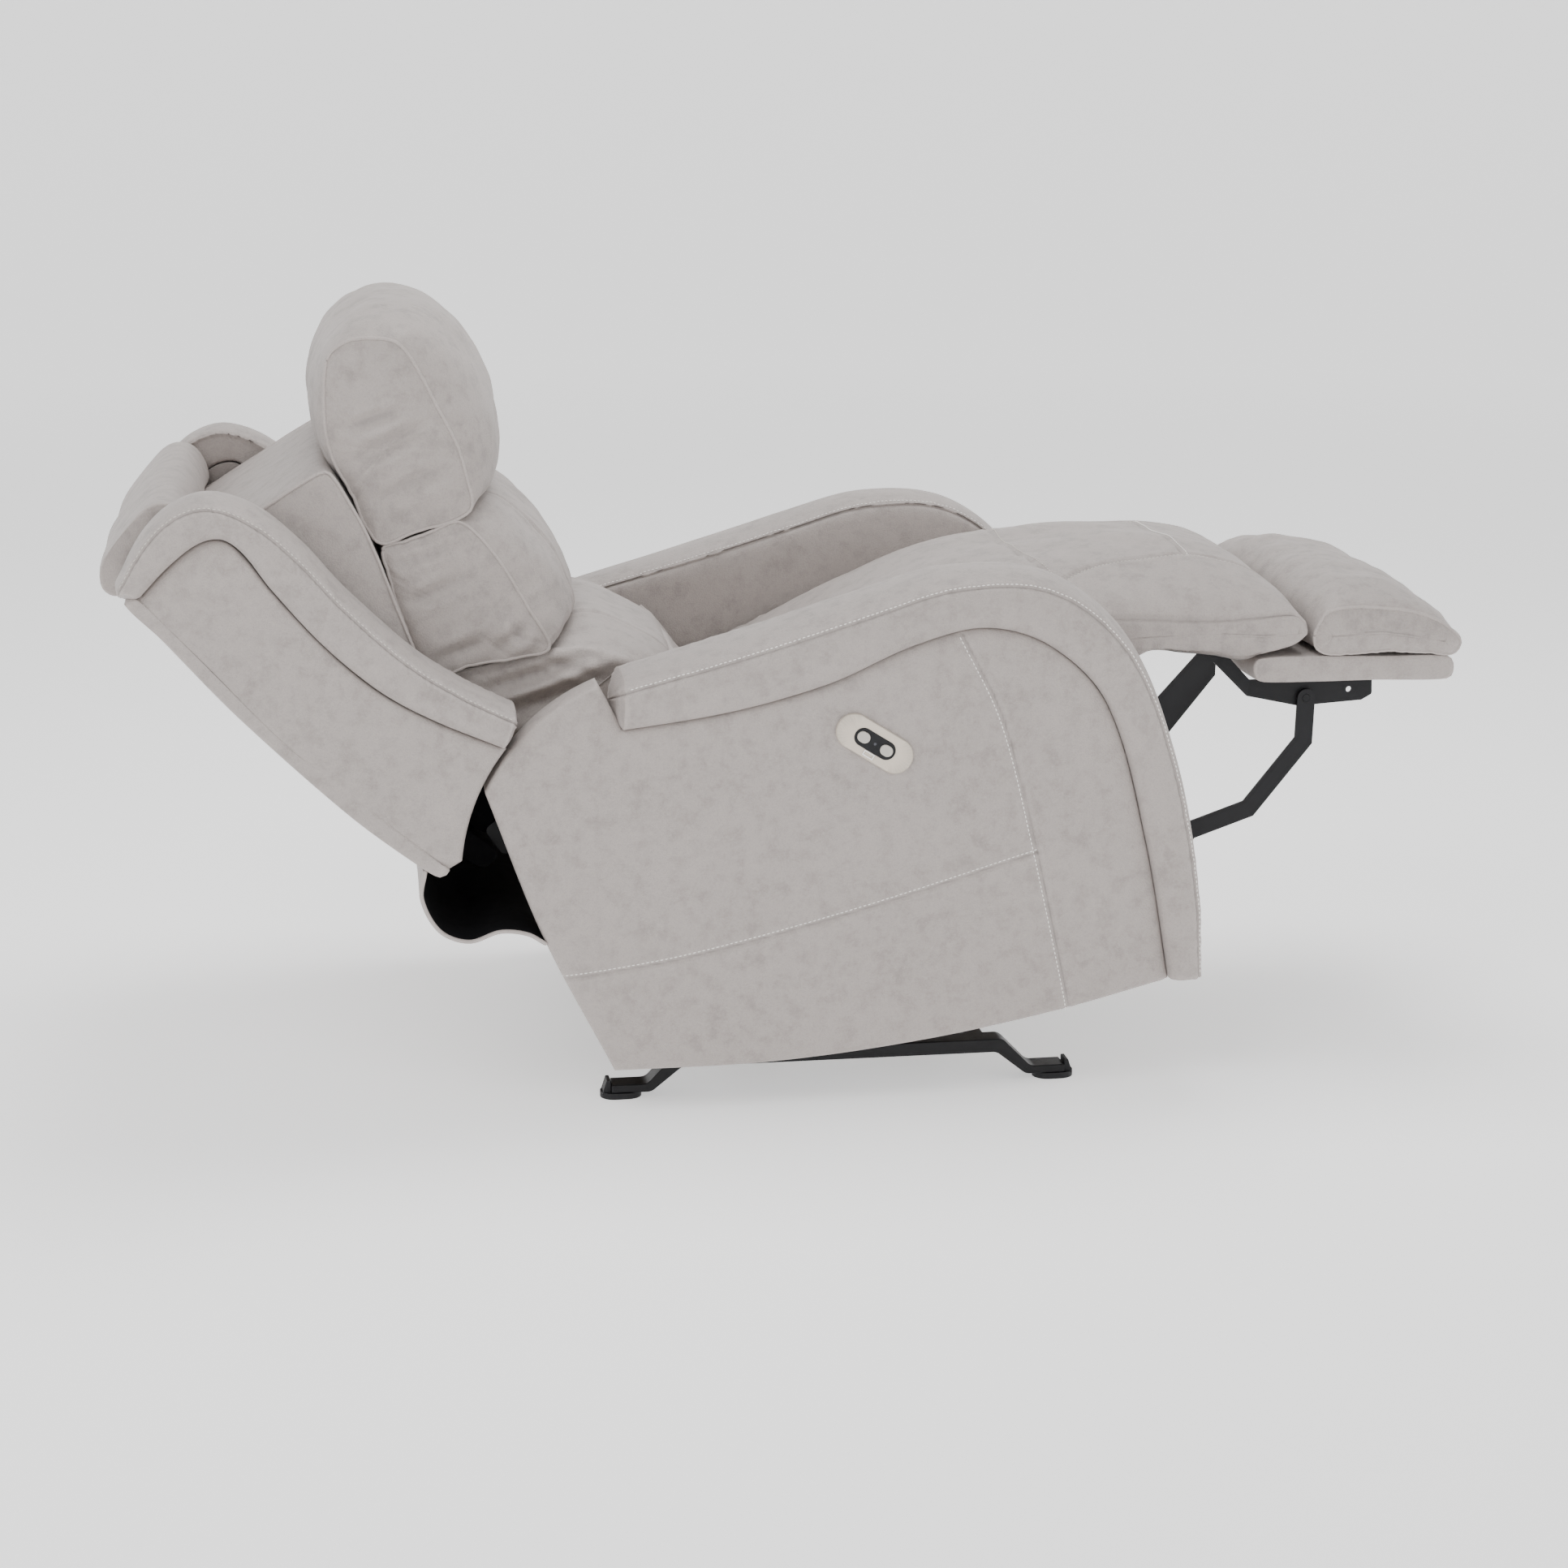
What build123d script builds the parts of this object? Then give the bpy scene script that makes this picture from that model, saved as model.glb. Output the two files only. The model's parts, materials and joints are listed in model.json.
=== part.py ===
"""Power rocker recliner armchair, opened out: leg rest up, back laid down, headrest forward.

The chair faces +X, the sitter's left is +Y and the floor is z = 0. Sizes are millimetres.
Side outlines are drawn as (forward, up) in one of three side frames:
  SIDE  the base, level with the floor
  BODY  the seat body, drawn level and leaned back on its rockers by ROCK_LEAN
  BACK  the backrest, drawn sitting up in the body and laid back by RECLINE_LEAN
"""
import os
from math import cos, hypot, radians, sin

from build123d import *

# Driving dimensions
WIDTH = 830.0
ARM_THICKNESS = 145.0
ROCK_LEAN = 7.3
RECLINE_LEAN = 27.0
ROCKER_RADIUS = 642.0
RAIL_TOP = 58.0
CENTRING = 9.0
GAP = 4.0

HALF = WIDTH / 2
ARM_INNER = HALF - ARM_THICKNESS
PAD_HALF = ARM_INNER - GAP
PANEL_FACE = HALF - 12

# Pivots, in BODY coordinates unless said otherwise
LEAN_CENTRE = (-20.0, 700.0)
BACK_PIVOT = (-237.0, 345.0)
FOLD_PIVOT = (451.0, 523.0)
CRANK_PIVOT = (267.0, 366.0)
GUIDE_OFFSET = (61.0, 52.0)
BRACKET_FRONT_PIN = (639.0, 400.0)
BRACKET_REAR_PIN = (515.0, 482.0)
HEAD_PIVOT = (-288.0, 985.0)

PLATE = 4.0
PIN_RADIUS = 5.0
PIN_CLEARANCE = 0.4
LINK_HALF_WIDTH = 12.0

PLATE_Y = 248.0
CRANK_Y = 239.0
LINK_Y = 232.0
BRACKET_Y = 225.0


def leaned(frame, pivot, angle):
    """Side frame turned back by an angle about a pivot given in its own coordinates."""
    turn = Pos(pivot[0], pivot[1]) * Rot(0, 0, angle) * Pos(-pivot[0], -pivot[1])
    return Plane(frame.location * turn)


SIDE = Plane((CENTRING, 0, 0), x_dir=(1, 0, 0), z_dir=(0, -1, 0))
BODY = leaned(SIDE, LEAN_CENTRE, ROCK_LEAN)
BACK = leaned(BODY, BACK_PIVOT, RECLINE_LEAN)


def place(frame, point):
    """Point of a side frame in the chair's own coordinates."""
    return frame.from_local_coords((point[0], point[1], 0))


def polar(centre, radius, angle):
    """Point at a radius and an angle, in degrees back from straight up."""
    return (centre[0] - radius * sin(radians(angle)), centre[1] + radius * cos(radians(angle)))


def plate(frame, y_low, y_high, outline, radius=0.0, soften=0.0, holes=(), hole_radius=0.0):
    """Flat piece with a side outline, between two widths, its rims softened and its holes cut."""
    with BuildPart() as piece:
        with BuildSketch(frame.offset(-y_high)):
            with BuildLine():
                if radius:
                    FilletPolyline(*outline, radius=radius, close=True)
                else:
                    Polyline(*outline, close=True)
            make_face()
        extrude(amount=y_high - y_low)
        if soften:
            ends = piece.faces().filter_by(Axis.Y)
            fillet(ends.edges(), radius=soften)
        if holes:
            with BuildSketch(frame.offset(-y_high)):
                with Locations(*holes):
                    Circle(hole_radius)
            extrude(amount=y_high - y_low, mode=Mode.SUBTRACT)
    return piece.part


def band(frame, y_low, y_high, outer, inner):
    """Padded roll between an outer and an inner curve that run the same way."""
    with BuildPart() as piece:
        with BuildSketch(frame.offset(-y_high)):
            with BuildLine():
                Spline(*outer)
                Line(outer[-1], inner[-1])
                Spline(*inner)
                Line(inner[0], outer[0])
            make_face()
        extrude(amount=y_high - y_low)
    return piece.part


def both_sides(frame, y_low, y_high, make, **options):
    """The same piece on the left and on the right of the chair."""
    left = make(frame, y_low, y_high, **options)
    right = make(frame, -y_high, -y_low, **options)
    return {"left": left, "right": right}


def pins(frame, y_low, y_high, centres, radius):
    """Round pins across the chair between two widths."""
    with BuildPart() as group:
        with BuildSketch(frame.offset(-y_high)):
            with Locations(*centres):
                Circle(radius)
        extrude(amount=y_high - y_low)
    return group.part


def joined(*parts):
    """Group of pieces that are kept in one node."""
    with BuildPart() as group:
        for part in parts:
            add(part)
    return group.part


def save(name, part):
    """Label a piece and write it out."""
    part.label = name
    export_step(part, f"parts/{name}.step")


def save_pair(name, pair):
    """Write the left and right pieces as two nodes."""
    for word, part in pair.items():
        save(f"{name}_{word}", part)


# ---------------------------------------------------------------- base
RAIL_INNER = 283.0
RAIL_OUTER = 317.0
RAIL_DEPTH = 18.0
RAIL_REAR = -180.0
RAIL_FRONT = 245.0
FOOT_DROP = 42.0
FOOT_LAP = 46.0
FOOT_HEIGHT = 8.0


def base_rail(frame, y_low, y_high):
    """Steel rail whose two ends are bent down and flattened onto the feet."""
    low = RAIL_TOP - RAIL_DEPTH
    toe = FOOT_HEIGHT + RAIL_DEPTH * 0.6
    outline = [
        (RAIL_REAR - FOOT_DROP - FOOT_LAP, toe),
        (RAIL_REAR - FOOT_DROP, toe),
        (RAIL_REAR - 4, RAIL_TOP),
        (RAIL_FRONT + 4, RAIL_TOP),
        (RAIL_FRONT + FOOT_DROP, toe),
        (RAIL_FRONT + FOOT_DROP + FOOT_LAP, toe),
        (RAIL_FRONT + FOOT_DROP + FOOT_LAP, FOOT_HEIGHT),
        (RAIL_FRONT + FOOT_DROP - 6, FOOT_HEIGHT),
        (RAIL_FRONT - 4, low),
        (RAIL_REAR + 4, low),
        (RAIL_REAR - FOOT_DROP + 6, FOOT_HEIGHT),
        (RAIL_REAR - FOOT_DROP - FOOT_LAP, FOOT_HEIGHT),
    ]
    bends = [2, 14, 14, 14, 14, 2, 2, 14, 14, 14, 14, 2]
    return plate(frame, y_low, y_high, outline, radius=bends, soften=1.5)


def base_feet():
    """Four moulded feet under the rail ends, each with an upright lug bored through."""
    toes = (
        (RAIL_REAR - FOOT_DROP - FOOT_LAP - 14, RAIL_REAR - FOOT_DROP - 6, -1),
        (RAIL_FRONT + FOOT_DROP + 6, RAIL_FRONT + FOOT_DROP + FOOT_LAP + 14, 1),
    )
    with BuildPart() as feet:
        for x_low, x_high, out in toes:
            for side in (-1, 1):
                middle = side * (RAIL_INNER + RAIL_OUTER) / 2
                centre = (CENTRING + (x_low + x_high) / 2, middle)
                with BuildSketch():
                    with Locations(centre):
                        SlotOverall(x_high - x_low, RAIL_OUTER - RAIL_INNER + 4)
                extrude(amount=FOOT_HEIGHT)
                edge = x_high if out > 0 else x_low
                with BuildSketch(SIDE.offset(-middle - 12)):
                    with BuildLine():
                        FilletPolyline(
                            (edge - out * 13, 24),
                            (edge - out * 8, 24),
                            (edge - out * 2, FOOT_HEIGHT - 3),
                            (edge - out * 13, FOOT_HEIGHT - 3),
                            radius=1.2,
                            close=True,
                        )
                    make_face()
                extrude(amount=24)
    return feet.part


def base_cross_tubes():
    """Two square tubes that join the rails."""
    return joined(*[
        plate(SIDE, -RAIL_INNER, RAIL_INNER, [(x, 36), (x + 25, 36), (x + 25, 57), (x, 57)], 3)
        for x in (RAIL_REAR + 10, RAIL_FRONT - 40)
    ])


SPRING_BOTTOM = 58.0
SPRING_HEIGHT = 84.0
SPRING_RADIUS = 14.0
SPRING_WIRE = 2.5
SPRING_Y = 266.0
SPRING_X = (-2.0, 66.0)


def rocker_springs():
    """Four coil springs that bring the chair back to level as it rocks."""
    with BuildPart() as springs:
        for side in (-1, 1):
            for x in SPRING_X:
                origin = Plane((CENTRING + x, side * SPRING_Y, SPRING_BOTTOM + SPRING_WIRE))
                with BuildLine(origin) as turns:
                    Helix(pitch=16, height=SPRING_HEIGHT - 2 * SPRING_WIRE, radius=SPRING_RADIUS)
                with BuildSketch(Plane(origin=turns.line @ 0, z_dir=turns.line % 0)):
                    Circle(SPRING_WIRE)
                sweep(path=turns.line)
    return springs.part


def spring_shelves():
    """Flat shelves welded inside the rails, which carry the coil springs."""
    low, high = SPRING_X[0] - 20, SPRING_X[1] + 20
    shelf = [(low, SPRING_BOTTOM - 4), (high, SPRING_BOTTOM - 4), (high, SPRING_BOTTOM), (low, SPRING_BOTTOM)]
    return both_sides(SIDE, RAIL_INNER - 36, RAIL_INNER, plate, outline=shelf)


# ---------------------------------------------------------------- seat frame
CAM_INNER = 297.0
CAM_OUTER = 303.0
CAM_LIFT = 2.7
CAM_HALF_SPAN = 205.0


def rocker_cam(frame, y_low, y_high):
    """Plate whose lower edge is the rocking curve, with a hanger for the coil springs."""
    centre = (LEAN_CENTRE[0], RAIL_TOP + CAM_LIFT + ROCKER_RADIUS)
    with BuildPart() as cam:
        with BuildSketch(SIDE.offset(-y_high)):
            with Locations(centre):
                Circle(ROCKER_RADIUS)
            with Locations((centre[0], RAIL_TOP)):
                Rectangle(2 * CAM_HALF_SPAN, 190, mode=Mode.INTERSECT)
        extrude(amount=y_high - y_low)
        with BuildSketch(BODY.offset(-y_high)):
            with BuildLine():
                FilletPolyline(
                    (-185, 110), (-150, 335), (-60, 335), (-40, 150), (60, 150), (80, 335),
                    (170, 335), (215, 130), (150, 110), (0, 100),
                    radius=12,
                    close=True,
                )
            make_face()
        extrude(amount=y_high - y_low)
    return cam.part


def spring_hanger(frame, y_low, y_high):
    """Bent strap from the cam that sits on top of the coil springs."""
    top = SPRING_BOTTOM + SPRING_HEIGHT
    low, high = SPRING_X[0] - 20, SPRING_X[1] + 20
    shelf = [(low, top), (high, top), (high, top + 5), (low, top + 5)]
    return plate(frame, y_low, y_high, shelf)


def side_rails():
    """Hardwood rails along both sides of the seat, between the arms and the mechanism."""
    outline = [(-262, 300), (290, 300), (290, 338), (-262, 338)]
    pair = both_sides(BODY, PLATE_Y + PLATE, CAM_INNER, plate, outline=outline, radius=2)
    return joined(*pair.values())


def mech_plate(frame, y_low, y_high):
    """Steel side plate that carries the back pivot, the crank pivot and the guide pivot."""
    guide = (CRANK_PIVOT[0] + GUIDE_OFFSET[0], CRANK_PIVOT[1] + GUIDE_OFFSET[1])
    outline = [
        (-262, 302), (-262, 372), (-212, 372), (-170, 350), (150, 350), (300, 462), (366, 462),
        (366, 420), (300, 340), (250, 302),
    ]
    running = PIN_RADIUS + PIN_CLEARANCE
    side = plate(frame, y_low, y_high, outline, 10, holes=[CRANK_PIVOT, guide], hole_radius=running)
    with BuildPart() as drilled:
        add(side)
        with BuildSketch(frame.offset(-y_high)):
            with Locations(BACK_PIVOT):
                Circle(PIN_RADIUS)
        extrude(amount=y_high - y_low, mode=Mode.SUBTRACT)
    return drilled.part


def seat_rails():
    """Front and rear hardwood rails that the seat springs hang between."""
    spans = ((325, 365, 436, 462), (-205, -165, 404, 430))
    return joined(*[
        plate(BODY, -PLATE_Y, PLATE_Y, [(a, c), (b, c), (b, d), (a, d)], 3) for a, b, c, d in spans
    ])


def rail_stands(frame, y_low, y_high):
    """Brackets that lift the rear seat rail off the side plates."""
    return plate(frame, y_low, y_high, [(-205, 352), (-165, 352), (-165, 430), (-205, 430)], 3)


SPRING_ROWS = (-180.0, -108.0, -36.0, 36.0, 108.0, 180.0)


def seat_springs():
    """Sinuous wire springs that run from the rear rail to the front rail."""
    bends = 12
    x_rear, x_front = -160.0, 322.0
    z_rear, z_front = 425.0, 456.0
    across = BODY
    with BuildPart() as springs:
        for row in SPRING_ROWS:
            points = []
            for i in range(bends + 1):
                share = i / bends
                x = x_rear + (x_front - x_rear) * share
                z = z_rear + (z_front - z_rear) * share
                y = row + 20 * (-1 if i % 2 else 1)
                points.append(across.from_local_coords((x, z, -y)))
            with BuildLine() as wire:
                FilletPolyline(*points, radius=14)
            with BuildSketch(Plane(origin=wire.line @ 0, z_dir=wire.line % 0)):
                Circle(1.9)
            sweep(path=wire.line)
    return springs.part


# ---------------------------------------------------------------- arms
ARM_ARC = 262.0
SEAM_GAP = 1.5
ROLL_OUTER = [
    (-266, 601), (-125, 624), (60, 655), (170, 668), (290, 642), (374, 556), (421, 400), (434, 220), (424, 100),
]
ROLL_INNER = [
    (-277, 541), (-145, 542), (-20, 557), (100, 590), (190, 598), (270, 562), (335, 474), (366, 290), (377, 102),
]
ARM_ARC_ANGLES = (57.3, 48, 38, 28, 14)
PANEL_BOTTOM = [(-349, 102), (-154, 79), (50, 73), (230, 83), (374, 99)]


def inset(points, dx, dz):
    """Outline points moved by a fixed amount."""
    return [(x + dx, z + dz) for x, z in points]


def arm_panel(frame, y_low, y_high):
    """Outer side panel of an arm, from the rocker-shaped bottom edge up to the roll."""
    arc = [polar(BACK_PIVOT, ARM_ARC, a) for a in ARM_ARC_ANGLES]
    with BuildPart() as panel:
        with BuildSketch(frame.offset(-y_high)):
            with BuildLine():
                Spline(*PANEL_BOTTOM)
                Line(PANEL_BOTTOM[-1], (ROLL_INNER[-1][0] - SEAM_GAP, ROLL_INNER[-1][1] - SEAM_GAP))
                Spline(*inset(ROLL_INNER[::-1], -SEAM_GAP, -SEAM_GAP))
                Line((ROLL_INNER[0][0] - SEAM_GAP, ROLL_INNER[0][1] - SEAM_GAP), arc[-1])
                Spline(*arc[::-1])
                Polyline(arc[0], (-413, 290), PANEL_BOTTOM[0])
            make_face()
        extrude(amount=y_high - y_low)
    return panel.part


def arm_inner(frame, y_low, y_high):
    """Upholstered inner face of an arm, above the seat."""
    outline = [
        (-395, 345), (-395, 470), (-330, 545), (-262, 575), (-125, 600), (60, 632), (170, 646), (275, 622),
        (345, 548), (392, 400), (402, 220), (398, 120), (330, 120), (320, 345),
    ]
    return plate(frame, y_low, y_high, outline, 18, soften=4)


def arm_frame(frame, y_low, y_high):
    """Plywood side of the arm, with two windows for lightness."""
    outline = [
        (-395, 250), (-440, 480), (-290, 540), (-120, 535), (100, 580), (190, 588), (262, 555), (325, 470),
        (355, 290), (362, 130), (300, 130), (250, 250),
    ]
    with BuildPart() as ply:
        add(plate(frame, y_low, y_high, outline, 8))
        with BuildSketch(frame.offset(-y_high)):
            with Locations((-215, 440), (20, 440)):
                RectangleRounded(140, 110, 20)
        extrude(amount=y_high - y_low, mode=Mode.SUBTRACT)
    return ply.part


def seat_cushion():
    """Deep seat cushion, from under the lumbar pad to the front rail."""
    outline = [
        (-225, 434), (-225, 470), (-140, 486), (-75, 490), (-30, 530), (60, 565), (200, 598), (300, 612), (400, 604),
        (442, 585), (430, 512), (398, 490), (366, 465), (300, 465), (240, 455),
    ]
    return plate(BODY, -PAD_HALF, PAD_HALF, outline, 8, soften=6)


# ---------------------------------------------------------------- drive and controls
DRIVE_DROP = 50.0
DRIVE_THROW = 41.7
FOLD_RANGE = 83.0
RAIL_FROM, RAIL_TO = -150.0, 330.0


def drive_motor():
    """Gear motor at the rear of the drive rail."""
    box = [(-215, 262), (-150, 262), (-150, 330), (-215, 330)]
    can = [(-205, 180), (-165, 180), (-165, 262), (-205, 262)]
    hanger = [(-192, 329), (-182, 329), (-182, 404), (-192, 404)]
    return joined(
        plate(BODY, -28, 28, box, 6, soften=3),
        plate(BODY, -20, 20, can, 6, soften=5),
        plate(BODY, -18, 18, hanger),
    )


def drive_rail():
    """Channel that guides the slider, with the screw running inside it."""
    with BuildPart() as rail:
        add(plate(BODY, -16, 16, [(RAIL_FROM, 268), (RAIL_TO, 268), (RAIL_TO, 272), (RAIL_FROM, 272)]))
        for low in (-16, 13):
            add(plate(BODY, low, low + 3, [(RAIL_FROM, 272), (RAIL_TO, 272), (RAIL_TO, 286), (RAIL_FROM, 286)]))
        add(plate(BODY, -16, 16, [(RAIL_TO, 268), (RAIL_TO + 5, 268), (RAIL_TO + 5, 436), (RAIL_TO, 436)]))
    return rail.part


def drive_slider():
    """Nut block that the motor drives along the rail, with the cross pin that turns the crank arm."""
    x = CRANK_PIVOT[0] + DRIVE_THROW
    pin_z = CRANK_PIVOT[1] - DRIVE_DROP
    block = [(x - 16, 273), (x + 16, 273), (x + 16, 284), (x - 16, 284)]
    ear = [(x - 8, 282), (x + 8, 282), (x + 8, pin_z + 8), (x - 8, pin_z + 8)]
    return joined(
        plate(BODY, -12, 12, block, 2),
        plate(BODY, -12, -8, ear, 2),
        plate(BODY, 8, 12, ear, 2),
        pins(BODY, -8, 8, [(x, pin_z)], 4),
    )


def drive_fork():
    """Open fork on the drive tube that the slider's cross pin pushes."""
    swing = Rot(0, 0, FOLD_RANGE / 2)
    face = Plane(BODY.location * Pos(*CRANK_PIVOT) * swing)
    with BuildPart() as fork:
        with BuildSketch(face.offset(-5)):
            with Locations((0, -46)):
                Rectangle(28, 59.6)
            with Locations((0, -58)):
                Rectangle(2 * 6.2, 40, mode=Mode.SUBTRACT)
        extrude(amount=10)
    return fork.part


PLATE_CENTRE = (31.0, 474.0)
PLATE_TILT = -39.7
PLATE_LENGTH = 108.0
PLATE_WIDTH = 46.0
INSET_LENGTH = 58.0
INSET_WIDTH = 24.0
BUTTON_SPACING = 34.0
BUTTON_LENGTH = 17.0
BUTTON_WIDTH = 14.0
PORT_OFFSET = 12.0


def control_face(out):
    """Sketch plane on the right arm's outer panel, centred on the control plate."""
    x, z = PLATE_CENTRE
    return Plane(BODY.location * Pos(x, z, PANEL_FACE + out) * Rot(0, 0, PLATE_TILT))


def slot_block(out, depth, length, width, cut=0.0, cut_length=0.0, cut_width=0.0, soften=0.0):
    """Oval block that stands out of the panel, with an optional oval pocket through it."""
    with BuildPart() as block:
        with BuildSketch(control_face(out)):
            SlotOverall(length, width)
        extrude(amount=depth)
        if soften:
            fillet(block.faces().sort_by(Axis.Y)[0].edges(), radius=soften)
        if cut:
            with BuildSketch(control_face(out)):
                SlotOverall(cut_length, cut_width)
            extrude(amount=depth, mode=Mode.SUBTRACT)
    return block.part


def control_inset():
    """Dark oval insert with wells for the two buttons, the lamp and the charging port."""
    with BuildPart() as insert:
        with BuildSketch(control_face(0.2)):
            SlotOverall(INSET_LENGTH - 0.4, INSET_WIDTH - 0.4)
        extrude(amount=4.6)
        with BuildSketch(control_face(1.2)):
            with Locations((-BUTTON_SPACING / 2, 0), (BUTTON_SPACING / 2, 0)):
                SlotOverall(BUTTON_LENGTH + 0.8, BUTTON_WIDTH + 0.8)
            Circle(2.0)
        extrude(amount=4, mode=Mode.SUBTRACT)
    return insert.part


def button(x):
    """One oval push button, domed and standing proud of the insert."""
    with BuildPart() as cap:
        with BuildSketch(control_face(3.2)):
            with Locations((x, 0)):
                SlotOverall(BUTTON_LENGTH, BUTTON_WIDTH)
        extrude(amount=3.4)
        fillet(cap.faces().sort_by(Axis.Y)[0].edges(), radius=1.2)
    return cap.part


def status_lens():
    """Small round lamp between the buttons."""
    with BuildPart() as lens:
        with BuildSketch(control_face(1.2)):
            Circle(1.9)
        extrude(amount=3.8)
    return lens.part


def usb_port():
    """Charging port shell on the lower edge of the plate's insert."""
    with BuildPart() as port:
        with BuildSketch(control_face(4.0)):
            with Locations((0, -PORT_OFFSET - 4)):
                Rectangle(15, 7)
                Rectangle(12.5, 4.5, mode=Mode.SUBTRACT)
        extrude(amount=1.6)
    return port.part


def power_inlet():
    """Round two-pin inlet on the motor's rear face, where the supply lead plugs in."""
    with BuildPart() as inlet:
        with BuildSketch(Plane(BODY.location * Pos(-215, 296) * Rot(0, -90, 0))):
            Circle(11)
        extrude(amount=22)
        with BuildSketch(Plane(BODY.location * Pos(-221, 296) * Rot(0, -90, 0))):
            Circle(7)
        extrude(amount=16, mode=Mode.SUBTRACT)
    return inlet.part


# ---------------------------------------------------------------- backrest
WING_ARC = 268.0
WING_INNER = 300.0
REAR_LINE = [(-577.6, 1010), (-568, 956), (-550, 820), (-517, 651), (-485, 545), (-474, 519)]
SKIN = 14.0
WING_OUTER_CURVE = [
    (-578, 1040), (-520, 1069), (-470, 1077), (-424, 1062), (-388, 1015), (-370, 950), (-360, 870), (-338, 765),
    (-309, 690), (-278, 632),
]
WING_INNER_CURVE = [
    (-560, 1012), (-510, 1022), (-465, 1024), (-440, 1012), (-430, 985), (-428, 930), (-418, 840), (-398, 755),
    (-365, 685), (-316, 606),
]


def back_panel():
    """Outer back cover, a thin board that follows the back's rear line."""
    front = [(x + SKIN, z) for x, z in REAR_LINE]
    return plate(BACK, -PANEL_FACE, PANEL_FACE, REAR_LINE + front[::-1], 5)


def wing_panel(frame, y_low, y_high):
    """Side of the back, whose lower edge slides over the arm's rounded rear corner."""
    arc = [polar(BACK_PIVOT, WING_ARC, a) for a in (16, 28, 40, 50)]
    with BuildPart() as wing:
        with BuildSketch(frame.offset(-y_high)):
            with BuildLine():
                Spline(*WING_INNER_CURVE)
                Line(WING_INNER_CURVE[-1], arc[0])
                Spline(*arc)
                Line(arc[-1], (REAR_LINE[-1][0] + SKIN + 1, REAR_LINE[-1][1]))
                Polyline(*[(x + SKIN + 1, z) for x, z in REAR_LINE[:0:-1]])
                Line((REAR_LINE[1][0] + SKIN + 1, REAR_LINE[1][1]), WING_INNER_CURVE[0])
            make_face()
        extrude(amount=y_high - y_low)
    return wing.part


def back_top_roll():
    """Padded roll across the top of the back, between the wings."""
    section = [
        (-604, 1036), (-594, 1054), (-572, 1069), (-530, 1082), (-494, 1084), (-474, 1068), (-472, 1040),
        (-486, 1014), (-530, 1010), (-575, 1012), (-598, 1020),
    ]
    with BuildPart() as roll:
        with BuildSketch(BACK.offset(-WING_INNER + 1)):
            with BuildLine():
                Spline(*section, periodic=True)
            make_face()
        extrude(amount=2 * (WING_INNER - 1))
    return roll.part


def back_frame():
    """Plywood and rail frame inside the back, behind the pads."""
    rear = [(x + SKIN + 2, z) for x, z in REAR_LINE[1:4]]
    front = [(x + 22, z) for x, z in rear]
    outline = rear + [(-440, 470), (-420, 470)] + front[::-1]
    with BuildPart() as frame:
        add(plate(BACK, -PAD_HALF + 2, PAD_HALF - 2, outline))
        with BuildSketch(Plane.YZ.offset(-900)):
            with Locations((-130, 560), (0, 560), (130, 560)):
                RectangleRounded(100, 110, 15)
        extrude(amount=700, mode=Mode.SUBTRACT)
    return frame.part


def inner_back():
    """Wedge-shaped padded box between the wings, with a flat top behind the headrest."""
    outline = [
        (-517, 1004), (-400, 1002), (-308, 997), (-297, 985), (-309, 870), (-348, 728), (-366, 612), (-420, 600),
        (-470, 640), (-500, 760), (-520, 900),
    ]
    return plate(BACK, -WING_INNER + 6, WING_INNER - 6, outline, 4, soften=4)


def back_pad_lower():
    """Lower back pad, narrow enough to pass between the arms."""
    outline = [(-366, 607), (-366, 505), (-410, 490), (-425, 520), (-425, 593)]
    half = PLATE_Y - 10
    return plate(BACK, -half, half, outline, 6)


def pillow(outline, soften):
    """Plain padded block in front of the back box."""
    return plate(BACK, -PAD_HALF, PAD_HALF, outline, 14, soften=soften)


def back_bracket(frame, y_low, y_high):
    """Steel arm from the back's side down to its pivot."""
    outline = [(-252, 330), (-222, 330), (-222, 366), (-372, 500), (-412, 500), (-412, 460), (-270, 352)]
    holes = [BACK_PIVOT]
    return plate(frame, y_low, y_high, outline, 9, holes=holes, hole_radius=PIN_RADIUS + PIN_CLEARANCE)


def rear_flap():
    """Leather flap that hangs in a loop between the back's lower edge and the body."""
    with BuildPart() as flap:
        with BuildSketch(BODY.offset(-ARM_INNER - 120)):
            with BuildLine():
                Spline(
                    (-553, 396), (-552, 366), (-538, 322), (-505, 303), (-465, 309), (-432, 300), (-419, 286),
                )
            trace(line_width=6)
        extrude(amount=2 * (ARM_INNER + 120))
    return flap.part


# ---------------------------------------------------------------- headrest
def headrest_board():
    """Plywood board behind the headrest pillow."""
    outline = [(-282, 992), (-271, 992), (-264, 1036), (-240, 1076), (-246, 1080), (-272, 1040)]
    return plate(BACK, -PAD_HALF + 45, PAD_HALF - 45, outline, 2)


def headrest_hinges():
    """Two ratchet hinges at the top of the back box."""
    return joined(*[
        pins(BACK, side * 150 - 22, side * 150 + 22, [HEAD_PIVOT], 4.5) for side in (-1, 1)
    ])


# ---------------------------------------------------------------- leg rest
def footrest_board():
    """Padded board under the foot pad."""
    outline = [(565, 470), (566, 438), (830, 403), (833, 433)]
    return plate(BODY, -PAD_HALF, PAD_HALF, outline, 7, soften=5)


def footrest_bracket(frame, y_low, y_high):
    """Steel bracket under the board: a web with two pivots and a flange screwed to the board."""
    outline = [
        (502, 478), (508, 494), (524, 494), (566, 435), (733, 413), (731, 390), (716, 384), (652, 388), (636, 387),
        (560, 414), (520, 466),
    ]
    return plate(frame, y_low, y_high, outline, 4, holes=[(700, 401)], hole_radius=4)


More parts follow.
